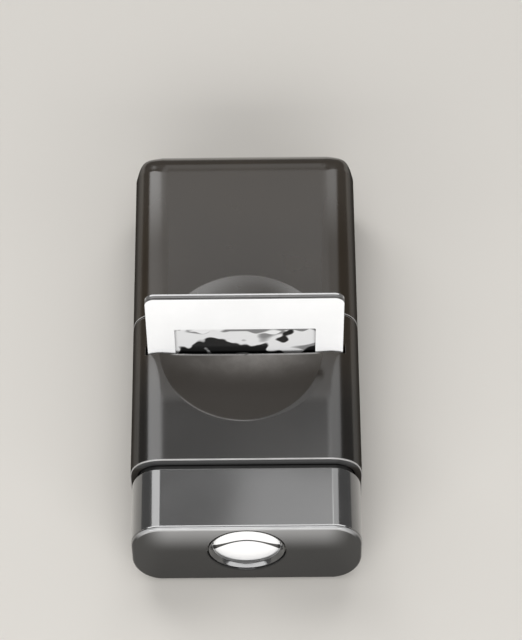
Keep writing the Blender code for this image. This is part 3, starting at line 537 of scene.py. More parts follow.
class Maker:
    """Builds the nodes of one material."""

    def __init__(self, name):
        self.material = bpy.data.materials.new(name)
        self.material.use_nodes = True
        self.tree = self.material.node_tree
        self.shader = self.tree.nodes["Principled BSDF"]
        self.output = self.tree.nodes["Material Output"]

    def node(self, kind, settings=None, *values, out=0, **named):
        """Add a node with its settings and the values or links of its sockets."""
        node = self.tree.nodes.new(kind)
        for key, value in (settings or {}).items():
            setattr(node, key, value)
        for index, value in enumerate(values):
            self.feed(node.inputs[index], value)
        for key, value in named.items():
            self.feed(node.inputs[key.replace("_", " ")], value)
        return Socket(self, node.outputs[out])

    def feed(self, target, value):
        """Set or link one socket, or leave it as it is for None."""
        if isinstance(value, Socket):
            self.tree.links.new(value.output, target)
        elif value is not None:
            target.default_value = value

    def set(self, **named):
        """Set or link sockets of the main shader."""
        for key, value in named.items():
            self.feed(self.shader.inputs[key.replace("_", " ")], value)

    def blend(self, factor, **named):
        """Blend the main shader into a second one."""
        main = Socket(self, self.shader.outputs[0])
        second = self.node("ShaderNodeBsdfPrincipled", None, **named)
        blended = self.node("ShaderNodeMixShader", None, factor, main, second)
        self.feed(self.output.inputs["Surface"], blended)

    def place(self, centre=(0, 0, 0)):
        """The place on the piece, counted from a centre."""
        where = self.node("ShaderNodeTexCoord", None, out="Object")
        return self.node("ShaderNodeVectorMath", {"operation": "SUBTRACT"}, where, centre)

    def place_from(self, x, y, z):
        """The place on the piece, counted from a point that is measured from the slot."""
        return self.place(tuple(at(x, y, z)))

    def scaled(self, vector, factors):
        """A place with each of its numbers scaled."""
        return self.node("ShaderNodeVectorMath", {"operation": "MULTIPLY"}, vector, factors)

    def parts(self, vector):
        """The three numbers of a vector."""
        first = self.node("ShaderNodeSeparateXYZ", None, vector)
        return [Socket(self, output) for output in first.output.node.outputs]

    def noise(self, vector, scale, detail=3.0, roughness=0.6):
        """Plain noise from 0 to 1."""
        return self.node(
            "ShaderNodeTexNoise", None,
            Vector=vector, Scale=scale, Detail=detail, Roughness=roughness,
        )

    def patches(self, where):
        """Broad soft patches."""
        return self.noise(where, 60.0, detail=4.0).ramp(0.35, 0.70)

    def flow(self, where):
        """Faint flow marks of moulded plastic."""
        return self.noise(where, 90.0, roughness=0.55)

    def mix(self, factor, first, second):
        """Blend two colours, whose sockets come after five for other kinds of value."""
        others = [None] * 5
        settings = {"data_type": "RGBA"}
        return self.node("ShaderNodeMix", settings, factor, *others, first, second, out=2)

    def shades(self, patch, low, high, warm=0.0):
        """A colour that drifts between two near greys."""
        return self.mix(patch, grey(low, warm), grey(high, warm))

    def crest(self, least=0.8):
        """1 on the marked edges, thinned out here and there down to the least share."""
        marked = self.node("ShaderNodeAttribute", {"attribute_name": CREST}, out="Fac")
        broken = self.noise(self.place(), 150.0).ramp(0.30, 0.65)
        return marked * (least + broken * (1 - least))

    def bump(self, height, distance):
        """Surface relief from a height."""
        self.set(Normal=self.node(
            "ShaderNodeBump", None, Height=height, Distance=distance, Strength=1.0
        ))


def grey(value, warm=0.0):
    """A near-neutral colour; warm adds red and takes blue."""
    return (value * (1 + warm), value, value * (1 - warm), 1.0)


def dimmed(colour, share):
    """A colour with its brightness brought down to a share."""
    return tuple(part * share for part in colour[:3]) + (1.0,)


# Lighter grey of wear, which also paints highlights on the edges
WEAR_AND_HIGHLIGHT_GREY = grey(0.40, 0.02)


def moulded(name, shade, rough, warm=0.01, grain=5000.0, grain_depth=0.00001):
    """Moulded plastic with a fine spark-eroded grain."""
    make = Maker(name)
    where = make.place()
    fine = make.noise(where, grain)
    patch = make.patches(where)
    make.set(
        Base_Color=make.shades(patch, shade * 0.93, shade * 1.07, warm),
        Roughness=rough - 0.04 + patch * 0.05 + fine * 0.04,
    )
    make.bump(fine, grain_depth)
    return make.material


def reach_from(x, y, half_x, half_y):
    """How far a point lies out in an oval, where 1 is its outline."""
    across = x * (1 / half_x)
    lengthwise = y * (1 / half_y)
    return (across * across + lengthwise * lengthwise) ** 0.5


def slide_rub_and_reflection(make, where, x, from_slot):
    """Grey rub in front of the slot, from slides pushed in and taken out, with a painted
    reflection of the white slide.
    """
    scuffs = make.noise(where, 240.0).ramp(0.30, 0.70)
    beside = (x - RUB_AND_REFLECTION_X).absolute()
    lightened = from_slot.fade(0.0, RUB_AND_REFLECTION_LENGTH) ** 2 * beside.fade(0.0, RUB_AND_REFLECTION_HALF_WIDTH)
    return lightened * (0.75 + scuffs * 0.25)


def rim_wear_and_highlight(make, where, x, y, ahead):
    """Wear with a painted highlight along the dish's outline, streaky in front and faint behind.
    """
    reach = reach_from(x, y, DISH_HALF_WIDTH, DISH_HALF_LENGTH)
    rim = (reach - 1.0).absolute().fade(0.004, 0.014)
    streaks = make.noise(where, 55.0, detail=2.0, roughness=0.5).ramp(0.35, 0.65)
    front = ahead * x.ramp(-0.0200, -0.0140) * x.fade(-0.0030, 0.0060)
    rear = (1 - ahead) * x.absolute().fade(0.0030, 0.0110)
    return rim * (front * (0.14 + streaks * 0.16) + rear * 0.09)


def body_plastic(name):
    """Black glossy plastic, satin in the front of the dish, matt below, with wear and painted
    highlights at its edges, painted shade in front of the slide, a painted reflection of the
    slide and painted light on the front rim's end.
    """
    make = Maker(name)
    where = make.place()
    x, y, z = make.parts(make.place_from(0, DISH_MIDDLE, BODY_HIGH))
    across = x.absolute()
    ahead = y < 0.0
    from_slot = -SLOT_HALF_THICK - DISH_MIDDLE - y
    from_front_rim = y - (FRONT_RIM - DISH_MIDDLE)
    satin_reach = reach_from(x - SATIN_X, y, SATIN_HALF_WIDTH, DISH_HALF_LENGTH)
    fine = make.noise(where, 9000.0)
    patch = make.patches(where)

    # Where the finish changes and where light and shade are painted; heights count down from the
    # roof
    roof = z.ramp(-0.0015, -0.0012)
    coated = z.ramp(-0.0035, -0.0010)
    side = z.fade(-0.0052, -0.0022)
    satin = satin_reach.fade(0.985, 1.0) * roof * ahead
    # Rub with a painted reflection of the white slide, in front of the slot
    lightened = slide_rub_and_reflection(make, where, x, from_slot) * satin
    # Painted highlight along the slot's front edge
    brink_highlight = from_slot.fade(0.00045, 0.00065) * satin * across.fade(0.0175, 0.0195) * 0.80
    # Wear with painted highlights: on the marked edges, along the dish's rim and at the slot's
    # front edge
    wear_and_highlight = make.crest().most(rim_wear_and_highlight(make, where, x, y, ahead) * roof).most(brink_highlight)
    # Painted light on the front rim's end face
    rim_end_light = from_front_rim.fade(0.00005, 0.0001)
    held = across.ramp(0.0195, 0.0225) * y.ramp(-0.0100, 0.0120) * y.fade(0.0300, 0.0540)

    # Painted shade: darker in front of the slide than behind it
    near = make.shades(patch, 0.0045, 0.0055, 0.30)
    far = make.shades(patch, 0.0235, 0.0265, 0.32)
    plain = make.mix(y.ramp(-0.0220, 0.0080), near, far)
    plain = make.mix(satin.most(side), plain, grey(0.0165, 0.28))
    # Lighter grey of the rub and of the slide's painted reflection
    plain = make.mix(lightened, plain, grey(0.22, 0.06))
    plain = make.mix(rim_end_light, plain, grey(0.07))
    make.set(
        Base_Color=make.mix(wear_and_highlight, plain, WEAR_AND_HIGHLIGHT_GREY),
        Roughness=0.16 + patch * 0.03 + fine * 0.02 + satin * 0.14 + side * 0.34,
        Specular_IOR_Level=0.35,
        Coat_Weight=(1 - satin) * coated * (1 - held),
        Coat_Roughness=0.16,
    )
    make.bump(fine, 0.000003)
    # Lower sides that mirror nothing of the floor
    matt = make.mix(wear_and_highlight, make.shades(patch, 0.0270, 0.0300, 0.14), WEAR_AND_HIGHLIGHT_GREY)
    make.blend(
        side * 0.9, Base_Color=matt, Roughness=0.60 + fine * 0.02, Specular_IOR_Level=0.0
    )
    return make.material


def block_plastic(name):
    """Black plastic of the eyepiece, glossy all round, dull on the face, with painted shade on
    the face, a painted highlight on its upper part and wear with a painted highlight at its top
    edges.
    """
    make = Maker(name)
    where = make.place_from(0, BLOCK_FRONT, LENS_Z)
    x, y, z = make.parts(where)
    top = BLOCK_HIGH - LENS_Z
    flow = make.flow(where)
    patch = flow.ramp(0.35, 0.70)
    face = y.fade(0.0001, 0.0004)
    brow_highlight = face * z.ramp(top - 0.0115, top + 0.0015) * x.absolute().fade(0.0190, 0.0265)
    # Wear with a painted highlight along the top edges
    chafed_and_highlit = make.crest() * z.ramp(top - 0.0050, top - 0.0008)
    plain = make.shades(patch, 0.0270, 0.0300, 0.01)
    # Painted shade: the face darker than the rest of the block
    plain = make.mix(face, plain, grey(0.0090, 0.01))
    # Painted highlight: the upper face lighter towards its top edge
    plain = make.mix(brow_highlight, plain, grey(0.26))
    make.set(
        Base_Color=make.mix(chafed_and_highlit, plain, grey(0.42)),
        Roughness=0.20 + patch * 0.04 + face * 0.08,
        Specular_IOR_Level=0.6,
        Coat_Weight=1 - face,
        Coat_IOR=2.0,
        Coat_Roughness=0.08,
    )
    make.bump(flow, 0.000004)
    return make.material


def bezel_plastic(name):
    """Smooth glossy plastic with faint flow marks."""
    make = Maker(name)
    flow = make.flow(make.place())
    patch = flow.ramp(0.35, 0.70)
    make.set(
        Base_Color=make.shades(patch, 0.0288, 0.0312),
        Roughness=0.15 + patch * 0.04,
        Specular_IOR_Level=1.0,
        Coat_Weight=0.8,
        Coat_Roughness=0.08,
    )
    make.bump(flow, 0.000004)
    return make.material


def cell_print(name, side):
    """Printed sleeve of a cell with plain bands towards its button."""
    make = Maker(name)
    where = make.place()
    x, _, _ = make.parts(where)
    toward = x * side
    band = toward.ramp(CELL_BAND_START, CELL_BAND_START + CELL_PRINT_EDGE)
    line = toward.ramp(CELL_LINE_START, CELL_LINE_START + CELL_PRINT_EDGE)
    line = line * toward.fade(CELL_LINE_END, CELL_LINE_END + CELL_PRINT_EDGE)
    stretch = make.noise(where, 120.0)
    # Print rubbed off here and there, lighter
    lightened = make.noise(where, 900.0, detail=4.0, roughness=0.7).ramp(0.66, 0.80)
    base = make.mix(band, (0.045, 0.060, 0.085, 1.0), (0.50, 0.36, 0.17, 1.0))
    base = make.mix(line, base, grey(0.75))
    make.set(
        Base_Color=make.mix(lightened * 0.5, base, grey(0.40)),
        Roughness=0.26 + stretch * 0.12 + lightened * 0.2,
        Coat_Weight=0.4,
        Coat_Roughness=0.12,
    )
    make.bump(stretch, 0.00002)
    return make.material


def pressed_board(name, dark, pale, rough):
    """Pressed board with a speckled grain."""
    make = Maker(name)
    where = make.place()
    cloud = make.noise(where, 350.0, detail=4.0, roughness=0.65).ramp(0.30, 0.70)
    speck = make.noise(where, 2600.0, detail=2.0, roughness=0.5).ramp(0.56, 0.64)
    make.set(
        Base_Color=make.mix(speck * 0.5, make.mix(cloud, dark, pale), dimmed(dark, 0.5)),
        Roughness=rough + cloud * 0.08 + speck * 0.1,
    )
    make.bump(speck, 0.00002)
    return make.material


def rolled_metal(name, colour, rough, lines_along):
    """Thin rolled metal with fine drawing lines along one axis."""
    make = Maker(name)
    where = make.place()
    squeeze = [120.0 if axis == lines_along else 4000.0 for axis in (X, Y, Z)]
    lines = make.noise(make.scaled(where, squeeze), 1.0, detail=2.0)
    dull = make.noise(where, 300.0).ramp(0.4, 0.7)
    make.set(
        Base_Color=make.mix(dull, colour, dimmed(colour, 0.8)),
        Roughness=rough + lines * 0.12 + dull * 0.08,
        Metallic=1.0,
    )
    make.bump(lines, 0.00001)
    return make.material


def lamp_glass(name):
    """Clear glass with a faint haze."""
    make = Maker(name)
    haze = make.noise(make.place(), 220.0).ramp(0.45, 0.75)
    tint = grey(0.97)
    make.set(
        Base_Color=make.mix(haze, tint, dimmed(tint, 0.98)),
        Roughness=0.02 + haze * 0.02,
        Transmission_Weight=1.0,
        IOR=1.5,
    )
    return make.material


def painted_lens(name):
    """Lens painted white as a reflection, with a dark painted line across its upper part that
    widens at both ends.
    """
    make = Maker(name)
    x, _, z = make.parts(make.place_from(0, BLOCK_FRONT, LENS_Z))
    square = x * x
    above = z + square * LENS_LINE_BEND - LENS_LINE_HIGH
    width = LENS_LINE_WIDTH + square * square * LENS_LINE_WIDENING
    dark = above.ramp(-0.0004, -0.0002) * (above - width).fade(-0.0001, 0.0001)
    # Painted reflection: a white lens crossed by a dark line
    make.set(
        Base_Color=make.mix(dark, grey(0.95), grey(0.02)),
        Roughness=0.08 + dark * 0.1,
        Coat_Weight=0.5,
        Coat_Roughness=0.03,
    )
    return make.material


def mount_back(name):
    """Grey plastic of the mount, with a painted highlight along its rear edge."""
    make = Maker(name)
    where = make.place_from(0, SLIDE_BACK, SLIDE_MIDDLE)
    x, y, z = make.parts(where)
    border = x.absolute().most(z.absolute()).ramp(SLIDE_HALF - 0.0003, SLIDE_HALF - 0.0002)
    # Painted highlight along the rear edge
    lightened = border * y.ramp(-0.0006, -0.0005)
    patch = make.flow(where).ramp(0.35, 0.70)
    fine = make.noise(where, 6000.0)
    make.set(
        Base_Color=make.mix(lightened, make.shades(patch, 0.13, 0.15, 0.02), grey(0.78)),
        Roughness=0.22 + patch * 0.05 + fine * 0.03,
        Coat_Weight=0.4,
        Coat_Roughness=0.1,
    )
    make.bump(fine, 0.00001)
    return make.material


def mount_front(name):
    """White face of the mount, grey along its edges."""
    make = Maker(name)
    where = make.place_from(0, SLIDE_FRONT, SLIDE_MIDDLE)
    _, y, _ = make.parts(where)
    edge = y.ramp(0.00008, 0.00012)
    patch = make.patches(where)
    fine = make.noise(where, 6000.0)
    make.set(
        Base_Color=make.mix(edge, make.shades(patch, 0.90, 0.93), grey(0.14, 0.02)),
        Roughness=0.34 + patch * 0.05 + fine * 0.04,
    )
    make.bump(fine, 0.00001)
    return make.material


def picture(name):
    """A made-up black and white view of snowy hills on the film."""
    make = Maker(name)
    where = make.place_from(0, 0, SLIDE_MIDDLE)
    x, _, z = make.parts(where)
    lengthwise = make.scaled(where, (1, 0, 0))
    drawn_out = make.scaled(where, (0.6, 0, 1))
    black = grey(0.012)

    ridge = make.noise(lengthwise, 75.0, detail=2.0, roughness=0.5) * 0.022 - 0.0015
    above = z - ridge
    shore = (z + 0.0048 + x * 0.04).ramp(-0.0002, 0.0002)
    cloud = make.noise(drawn_out, 150.0, detail=1.0, roughness=0.4).ramp(0.46, 0.54)
    thaw = make.noise(drawn_out, 135.0, detail=1.0, roughness=0.4).ramp(0.55, 0.59)
    snow = make.noise(where, 130.0, detail=1.5, roughness=0.5)
    snow = (snow + above * 18.0).ramp(0.36, 0.40)
    far = make.mix(cloud, grey(0.22), grey(0.84))
    near = make.mix(snow, black, make.mix(thaw, grey(0.78), grey(0.24)))
    land = make.mix(above.ramp(-0.0002, 0.0002), near, far)
    make.set(
        Base_Color=make.mix(shore, black, land),
        Roughness=0.30,
        Coat_Weight=0.25,
        Coat_Roughness=0.1,
    )
    return make.material


# Finishing pieces

def dress(obj, finish, body, slot, *nodes, wear_and_highlight=None):
    """Give a piece its finish, its body and the nodes it stands for."""
    mark_crests(obj, wear_and_highlight)
    even = obj.modifiers.new("even_shading", "WEIGHTED_NORMAL")
    even.keep_sharp = True
    obj.data.materials.clear()
    obj.data.materials.append(finish)
    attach(obj, body)
    if nodes:
        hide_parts(*nodes)


def coat(node, finish):
    """Give a frame node its finish."""
    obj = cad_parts[node]
    obj.data.materials.clear()
    obj.data.materials.append(finish)


def ease(node, finish, width):
    """Soften the edges of a frame node and give it its finish."""
    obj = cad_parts[node]
    join = obj.modifiers.new("join", "WELD")
    join.merge_threshold = SAME_PLACE
    soft = obj.modifiers.new("soften", "BEVEL")
    soft.width = width
    soft.segments = 2
    soft.limit_method = "ANGLE"
    soft.angle_limit = math.radians(40)
    coat(node, finish)


# Body

def dish_cutter():
    """A shallow bowl that reaches a little above the roof."""
    middle = at(0, DISH_MIDDLE, BODY_HIGH)
    spread = (1 + EXCESS / DISH_DEPTH) ** (1 / DISH_POWER)
    points = []
    for step in range(DISH_STEPS + 1):
        share = spread * step / DISH_STEPS
        points.append((share * DISH_HALF_LENGTH, DISH_DEPTH * (share ** DISH_POWER - 1)))
    points.append((0, points[-1][1]))
    cutter = spun("dish", points, middle, Z, steps=128)
    pick_all(cutter)
    widening = DISH_HALF_WIDTH / DISH_HALF_LENGTH
    bpy.ops.transform.resize(value=(widening, 1, 1), center_override=middle)
    leave()
    return cutter


def slot_cutter():
    """The way of the slide through the body."""
    low = (-SLOT_HALF_WIDTH, -SLOT_HALF_THICK, -EXCESS)
    high = (SLOT_HALF_WIDTH, SLOT_HALF_THICK, BODY_HIGH + EXCESS)
    return add_box("slot", low, high)


def slot_brink(edge):
    """A test for the upper edges of the slot."""
    if any(vert.co.z <= BODY_HIGH - 2 * DISH_DEPTH for vert in edge.verts):
        return False
    from_slot = [abs(vert.co.y - SLOT_Y) for vert in edge.verts]
    return all(abs(distance - SLOT_HALF_THICK) < SAME_PLACE for distance in from_slot)


def recess_cutter(side):
    """The stepped hole under the housing for one screw."""
    points = [
        (0, -EXCESS), (RECESS_RADIUS, -EXCESS), (RECESS_RADIUS, RECESS_DEPTH),
        (SCREW_HOLE_RADIUS, RECESS_DEPTH), (SCREW_HOLE_RADIUS, ROOM_LOW + EXCESS),
        (0, ROOM_LOW + EXCESS),
    ]
    return spun("recess", points, at(side * SCREW_X, SCREW_Y, 0), Z, steps=48)


def build_front_housing(finish):
    """Sleeve with the slot and most of the dish."""
    rear = PARTING - PARTING_HALF_GAP
    housing = add_box(
        "front_housing_shell", (-BODY_HALF, FRONT_RIM, 0), (BODY_HALF, rear, BODY_HIGH)
    )
    bevel(housing, along(Y), BODY_CORNER, segments=20, fullness=CORNER_FULLNESS)
    bevel(housing, in_plane(Y, FRONT_RIM + SLOT_Y), FRONT_RIM_EDGE, segments=5)
    bevel(housing, in_plane(Y, rear + SLOT_Y), PARTING_EDGE, segments=3)
    room = add_box(
        "room", (-ROOM_HALF, FRONT_RIM - EXCESS, ROOM_LOW), (ROOM_HALF, rear + EXCESS, ROOM_HIGH)
    )
    bevel(room, along(Y), ROOM_CORNER, segments=12)
    carve(housing, room, dish_cutter(), slot_cutter())
    bevel(housing, slot_brink, SLOT_EDGE, segments=2)
    for side in (-1, 1):
        carve(housing, recess_cutter(side))
    smooth(housing)
    crease_rim(housing)
    dress(housing, finish, "viewer_body", "housing_plastic", "front_housing", wear_and_highlight=at_an_end)


def rounded_back(name, low, high, corner, end_round, plan_round, segments, fullness=CIRCULAR):
    """A box whose long edges and back end are rounded off."""
    obj = add_box(name, low, high)
    lengthwise = along(Y)
    upright = along(Z)
    at_back = in_plane(Y, high[Y] + SLOT_Y)
    mesh = bmesh.new()
    mesh.from_mesh(obj.data)
    layer = mesh.edges.layers.float.new("bevel_weight_edge")
    for edge in mesh.edges:
        if lengthwise(edge):
            edge[layer] = 1.0
        elif at_back(edge):
            edge[layer] = (plan_round if upright(edge) else end_round) / corner
    mesh.to_mesh(obj.data)
    mesh.free()
    modifier = obj.modifiers.new("round", "BEVEL")
    modifier.width = corner
    modifier.segments = segments
    modifier.profile = fullness
    modifier.limit_method = "WEIGHT"
    apply_all(obj)
    return obj


def build_rear_case(finish):
    """Battery cover behind the parting line."""
    front = PARTING + PARTING_HALF_GAP
    case = rounded_back(
        "rear_case_shell", (-BODY_HALF, front, 0), (BODY_HALF, BACK_END, BODY_HIGH),
        BODY_CORNER, BACK_ROUND, BACK_PLAN_ROUND, segments=20, fullness=CORNER_FULLNESS,
    )
    bevel(case, in_plane(Y, front + SLOT_Y), PARTING_EDGE, segments=3)
    room = rounded_back(
        "room", (-ROOM_HALF, front - EXCESS, ROOM_LOW), (ROOM_HALF, ROOM_BACK, ROOM_HIGH),
        ROOM_CORNER, ROOM_BACK_ROUND, ROOM_BACK_ROUND, segments=12,
    )
    carve(case, room, dish_cutter())
    smooth(case)
    crease_rim(case)
    dress(case, finish, "rear_case", "housing_plastic", "rear_case", wear_and_highlight=at_an_end)


# Eyepiece

def stretched_block():
    """The block, with its corners taller than they are wide."""
    half_high = (BLOCK_HIGH - BLOCK_LOW) / 2
    low = BLOCK_MIDDLE_Z - half_high / BLOCK_LOW_STRETCH
    high = BLOCK_MIDDLE_Z + half_high / BLOCK_TOP_STRETCH
    block = add_box(
        "eyepiece_shell", (-BLOCK_HALF, BLOCK_FRONT, low), (BLOCK_HALF, BLOCK_REAR, high)
    )
    bevel(block, along(Y), BLOCK_CORNER, segments=24)
    for stretch, above in ((BLOCK_TOP_STRETCH, True), (BLOCK_LOW_STRETCH, False)):
        pick(block, "VERT", lambda vert: (vert.co.z > BLOCK_MIDDLE_Z) == above)
        middle = (0, 0, BLOCK_MIDDLE_Z)
        bpy.ops.transform.resize(value=(1, 1, stretch), center_override=middle)
        leave()
    bevel(block, in_plane(Y, BLOCK_FRONT + SLOT_Y), BLOCK_FRONT_EDGE, segments=5)
    bevel(block, in_plane(Y, BLOCK_REAR + SLOT_Y), BLOCK_REAR_EDGE, segments=4)
    return block


def cut_groove(block):
    """A fine line pressed in all round, a little behind the face."""
    pick_all(block)
    for share in (0, 0.5, 1):
        place = at(0, GROOVE_START + share * GROOVE_WIDTH, 0)
        bpy.ops.mesh.select_all(action="SELECT")
        bpy.ops.mesh.bisect(plane_co=place, plane_no=(0, 1, 0))
    leave()
    middle = at(0, GROOVE_START + GROOVE_WIDTH / 2, BLOCK_MIDDLE_Z)
    pick(block, "VERT", lambda vert: abs(vert.co.y - middle.y) < SAME_PLACE)
    across = 1 - GROOVE_DEPTH / BLOCK_HALF
    upright = 1 - GROOVE_DEPTH / (BLOCK_HIGH - BLOCK_MIDDLE_Z)
    bpy.ops.transform.resize(value=(across, 1, upright), center_override=middle)
    leave()


def eye_hole_cutter():
    """The flared eye hole with the narrower seat of the lens behind it."""
    rim = BLOCK_FRONT
    flared = EYE_RADIUS + EYE_FLARE
    seat = rim + EYE_SEAT_DEPTH
    points = [
        (0, rim - EXCESS), (flared, rim - EXCESS), (flared, rim),
        (EYE_RADIUS + EYE_FLARE_BEND, rim + EYE_FLARE_BEND), (EYE_RADIUS, rim + EYE_FLARE),
        (EYE_RADIUS, seat), (EYE_SEAT_RADIUS, seat), (EYE_SEAT_RADIUS, EYE_HOLE_END),
        (0, EYE_HOLE_END),
    ]
    return spun("hole", points, at(0, 0, LENS_Z), Y)


def build_eyepiece(finish):
    """Block with the eye hole, on the neck that slides in the front housing."""
    block = stretched_block()
    cut_groove(block)
    neck = add_box(
        "neck", (-NECK_HALF, BLOCK_REAR - EXCESS, NECK_LOW), (NECK_HALF, NECK_END, NECK_HIGH)
    )
    bevel(neck, along(Y), NECK_CORNER, segments=12)
    combine(block, neck, "UNION")
    hollow = add_box("wide", HOLLOW_LOWEST, HOLLOW_HIGHEST)
    bevel(hollow, along(Y), HOLLOW_CORNER, segments=10)
    bore = add_box("narrow", BORE_LOWEST, BORE_HIGHEST)
    bevel(bore, along(Y), BORE_CORNER, segments=10)
    carve(block, hollow, bore, eye_hole_cutter())
    smooth(block)
    dress(block, finish, "eyepiece", "eyepiece_plastic", "eyepiece_housing", wear_and_highlight=at_the_front)


def build_bezel(finish):
    """Ring around the lens."""
    points = ring_points([(radius, BLOCK_FRONT + depth) for radius, depth in BEZEL_PROFILE])
    bezel = spun("lens_bezel_ring", points, at(0, 0, LENS_Z), Y)
    smooth(bezel)
    dress(bezel, finish, "eyepiece", "bezel_plastic", "lens_bezel")


def build_lens(finish):
    """Lens with two bowed faces."""
    front = BLOCK_FRONT + LENS_DEPTH
    back = front + LENS_THICK
    curve = (LENS_RADIUS * LENS_RADIUS + LENS_SAG * LENS_SAG) / (2 * LENS_SAG)
    outs = [LENS_RADIUS * step / LENS_STEPS for step in range(LENS_STEPS + 1)]
    bowed = [(out, curve - math.sqrt(curve * curve - out * out)) for out in outs]
    points = [(out, front - LENS_SAG + drop) for out, drop in bowed]
    points += [(out, back + LENS_SAG - drop) for out, drop in reversed(bowed)]
    lens = spun("eyepiece_lens_glass", points, at(0, 0, LENS_Z), Y)
    smooth(lens)
    dress(lens, finish, "eyepiece", "lens_acrylic", "eyepiece_lens")


def build_retainer(finish):
    """Ring behind the lens with two notches for a spanner."""
    low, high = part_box("lens_retaining_ring")
    wide = (high.x - low.x) / 2
    inner = wide - RETAINER_WALL
    front = low.y - SLOT_Y
    back = high.y - SLOT_Y
    points = ring_points([
        (wide, front), (wide, back - 0.0001), (wide - 0.0001, back), (inner + 0.0002, back),
        (inner, back - 0.0002), (inner, front),
    ])
    ring = spun("lens_ring_back", points, at(0, 0, LENS_Z), Y)
    for side in (-1, 1):
        edge = side * (wide - RETAINER_WALL / 2)
        carve(ring, add_box(
            "notch", (edge - 0.0010, back - NOTCH_DEPTH, LENS_Z - NOTCH_HALF_WIDTH),
            (edge + 0.0010, back + EXCESS, LENS_Z + NOTCH_HALF_WIDTH)
        ))
    smooth(ring)
    dress(ring, finish, "eyepiece", "retainer_plastic", "lens_retaining_ring")


# Slide

def build_slide_plate(name, front, back, finish, slot, node, edge):
    """One plate of the slide mount with rounded corners and the window."""
    high = SLIDE_LOW + 2 * SLIDE_HALF
    plate = add_box(name, (-SLIDE_HALF, front, SLIDE_LOW), (SLIDE_HALF, back, high))
    bevel(plate, along(Y), SLIDE_CORNER, segments=10)
    window = add_box(
        "window", (-WINDOW_HALF_X, front - EXCESS, SLIDE_MIDDLE - WINDOW_HALF_Z),
        (WINDOW_HALF_X, back + EXCESS, SLIDE_MIDDLE + WINDOW_HALF_Z)
    )
    bevel(window, along(Y), WINDOW_CORNER, segments=3)
    carve(plate, window)
    soften(plate, edge)
    smooth(plate)
    dress(plate, finish, "slide", slot, node)


def build_slide():
    """Both plates of the mount and the picture on the film."""
    build_slide_plate(
        "slide_front_plate", SLIDE_FRONT, SLIDE_PLATE_BACK,
        mount_front("mount_white"), "mount_white", "slide_mount_front", edge=0.00012,
    )
    build_slide_plate(
        "slide_back_plate", SLIDE_BASE_FRONT, SLIDE_BACK,
        mount_back("mount_grey"), "mount_grey", "slide_mount_back", edge=0.00025,
    )
    coat("film_chip", picture("film_picture"))


# Inside the body; the small offsets in the turned profiles round off their corners

def build_cells(steel):
    """Two cells side by side, the rear one turned end for end."""
    end = CELL_HALF_LENGTH
    can = CELL_CAN_END
    wide = CELL_RADIUS
    inside = wide - CELL_SLEEVE_WALL
    jacket = ring_points([
        (inside, -end + 0.0004), (wide - 0.0012, -end + 0.0001), (wide - 0.0007, -end + 0.0001),
        (wide - 0.0002, -end + 0.0004), (wide, -end + 0.0010), (wide, can - 0.0010),
        (wide - 0.0002, can - 0.0004), (wide - 0.0007, can - 0.0001),
        (wide - 0.0012, can - 0.0001), (inside, can - 0.0004),
    ])
    nipple = CELL_NIPPLE_RADIUS
    core = [
        (0, -end), (0.0044, -end), (0.0048, -end + 0.0002), (0.0052, -end + 0.0005),
        (inside - 0.0001, -end + 0.0005), (inside - 0.0001, can - 0.0005),
        (0.0050, can - 0.0004), (0.0046, can - 0.0007), (nipple + 0.0005, can - 0.0007),
        (nipple + 0.0001, can - 0.0003), (nipple, end - 0.0004), (nipple - 0.0003, end), (0, end),
    ]
    middle = middle_of("cell_front", "cell_front_button")
    sleeve_front = spun("cell_front_jacket", jacket, middle, X)
    core_front = spun("cell_front_core", core, middle, X)
    rear = middle_of("cell_rear", "cell_rear_button")
    pair = (middle + rear) / 2
    sleeve_rear = turned_about(copied(sleeve_front, "cell_rear_jacket"), pair)
    core_rear = turned_about(copied(core_front, "cell_rear_core"), pair)
    for piece in (sleeve_front, core_front, sleeve_rear, core_rear):
        smooth(piece, angle=40.0)
    front_print = cell_print("cell_front_sleeve", 1)
    rear_print = cell_print("cell_rear_sleeve", -1)
    dress(sleeve_front, front_print, "viewer_body", "cell_sleeve", "cell_front")
    dress(sleeve_rear, rear_print, "viewer_body", "cell_sleeve", "cell_rear")
    dress(core_front, steel, "viewer_body", "contact_tin", "cell_front_button")
    dress(core_rear, steel, "viewer_body", "contact_tin", "cell_rear_button")


def build_bulb_cap(brass, solder):
    """Screw cap of the lamp with rolled threads and its end contact."""
    root = BULB_CAP_RADIUS - BULB_THREAD_DEPTH
    pitch = (BULB_CAP_END - BULB_CAP_START - BULB_CAP_PLAIN_END) / BULB_THREADS
    points = [(0, BULB_CAP_START), (root, BULB_CAP_START)]
    for step in range(1, BULB_THREAD_STEPS * BULB_THREADS + 1):
        turns = step / BULB_THREAD_STEPS
        swell = 0.5 - 0.5 * math.cos(FULL_TURN * turns)
        points.append((root + BULB_THREAD_DEPTH * swell, BULB_CAP_START + pitch * turns))
    tip = BULB_TIP_RADIUS
    end = BULB_CAP_END
    points += [
        (root - 0.0004, end - 0.0007), (root - 0.0012, end - 0.0003),
        (tip + 0.0009, end - 0.0003), (tip + 0.0009, end - 0.0006), (0.0008, end - 0.0006),
        (0, end - 0.0006),
    ]
    cap = spun("lamp_cap_shell", points, at(0, 0, LAMP_Z), Y, steps=64)
    smooth(cap, angle=50.0)
    dress(cap, brass, "viewer_body", "cap_brass", "bulb_cap")
    bead = [
        (0, end - 0.0005), (tip + 0.0006, end - 0.0005), (tip + 0.0005, end),
        (tip + 0.0001, end + 0.0002), (tip - 0.0003, BULB_TIP_END - 0.0003),
        (tip - 0.0009, BULB_TIP_END), (0, BULB_TIP_END),
    ]
    contact = spun("lamp_cap_bead", bead, at(0, 0, LAMP_Z), Y, steps=48)
    smooth(contact, angle=50.0)
    dress(contact, solder, "viewer_body", "contact_tin")


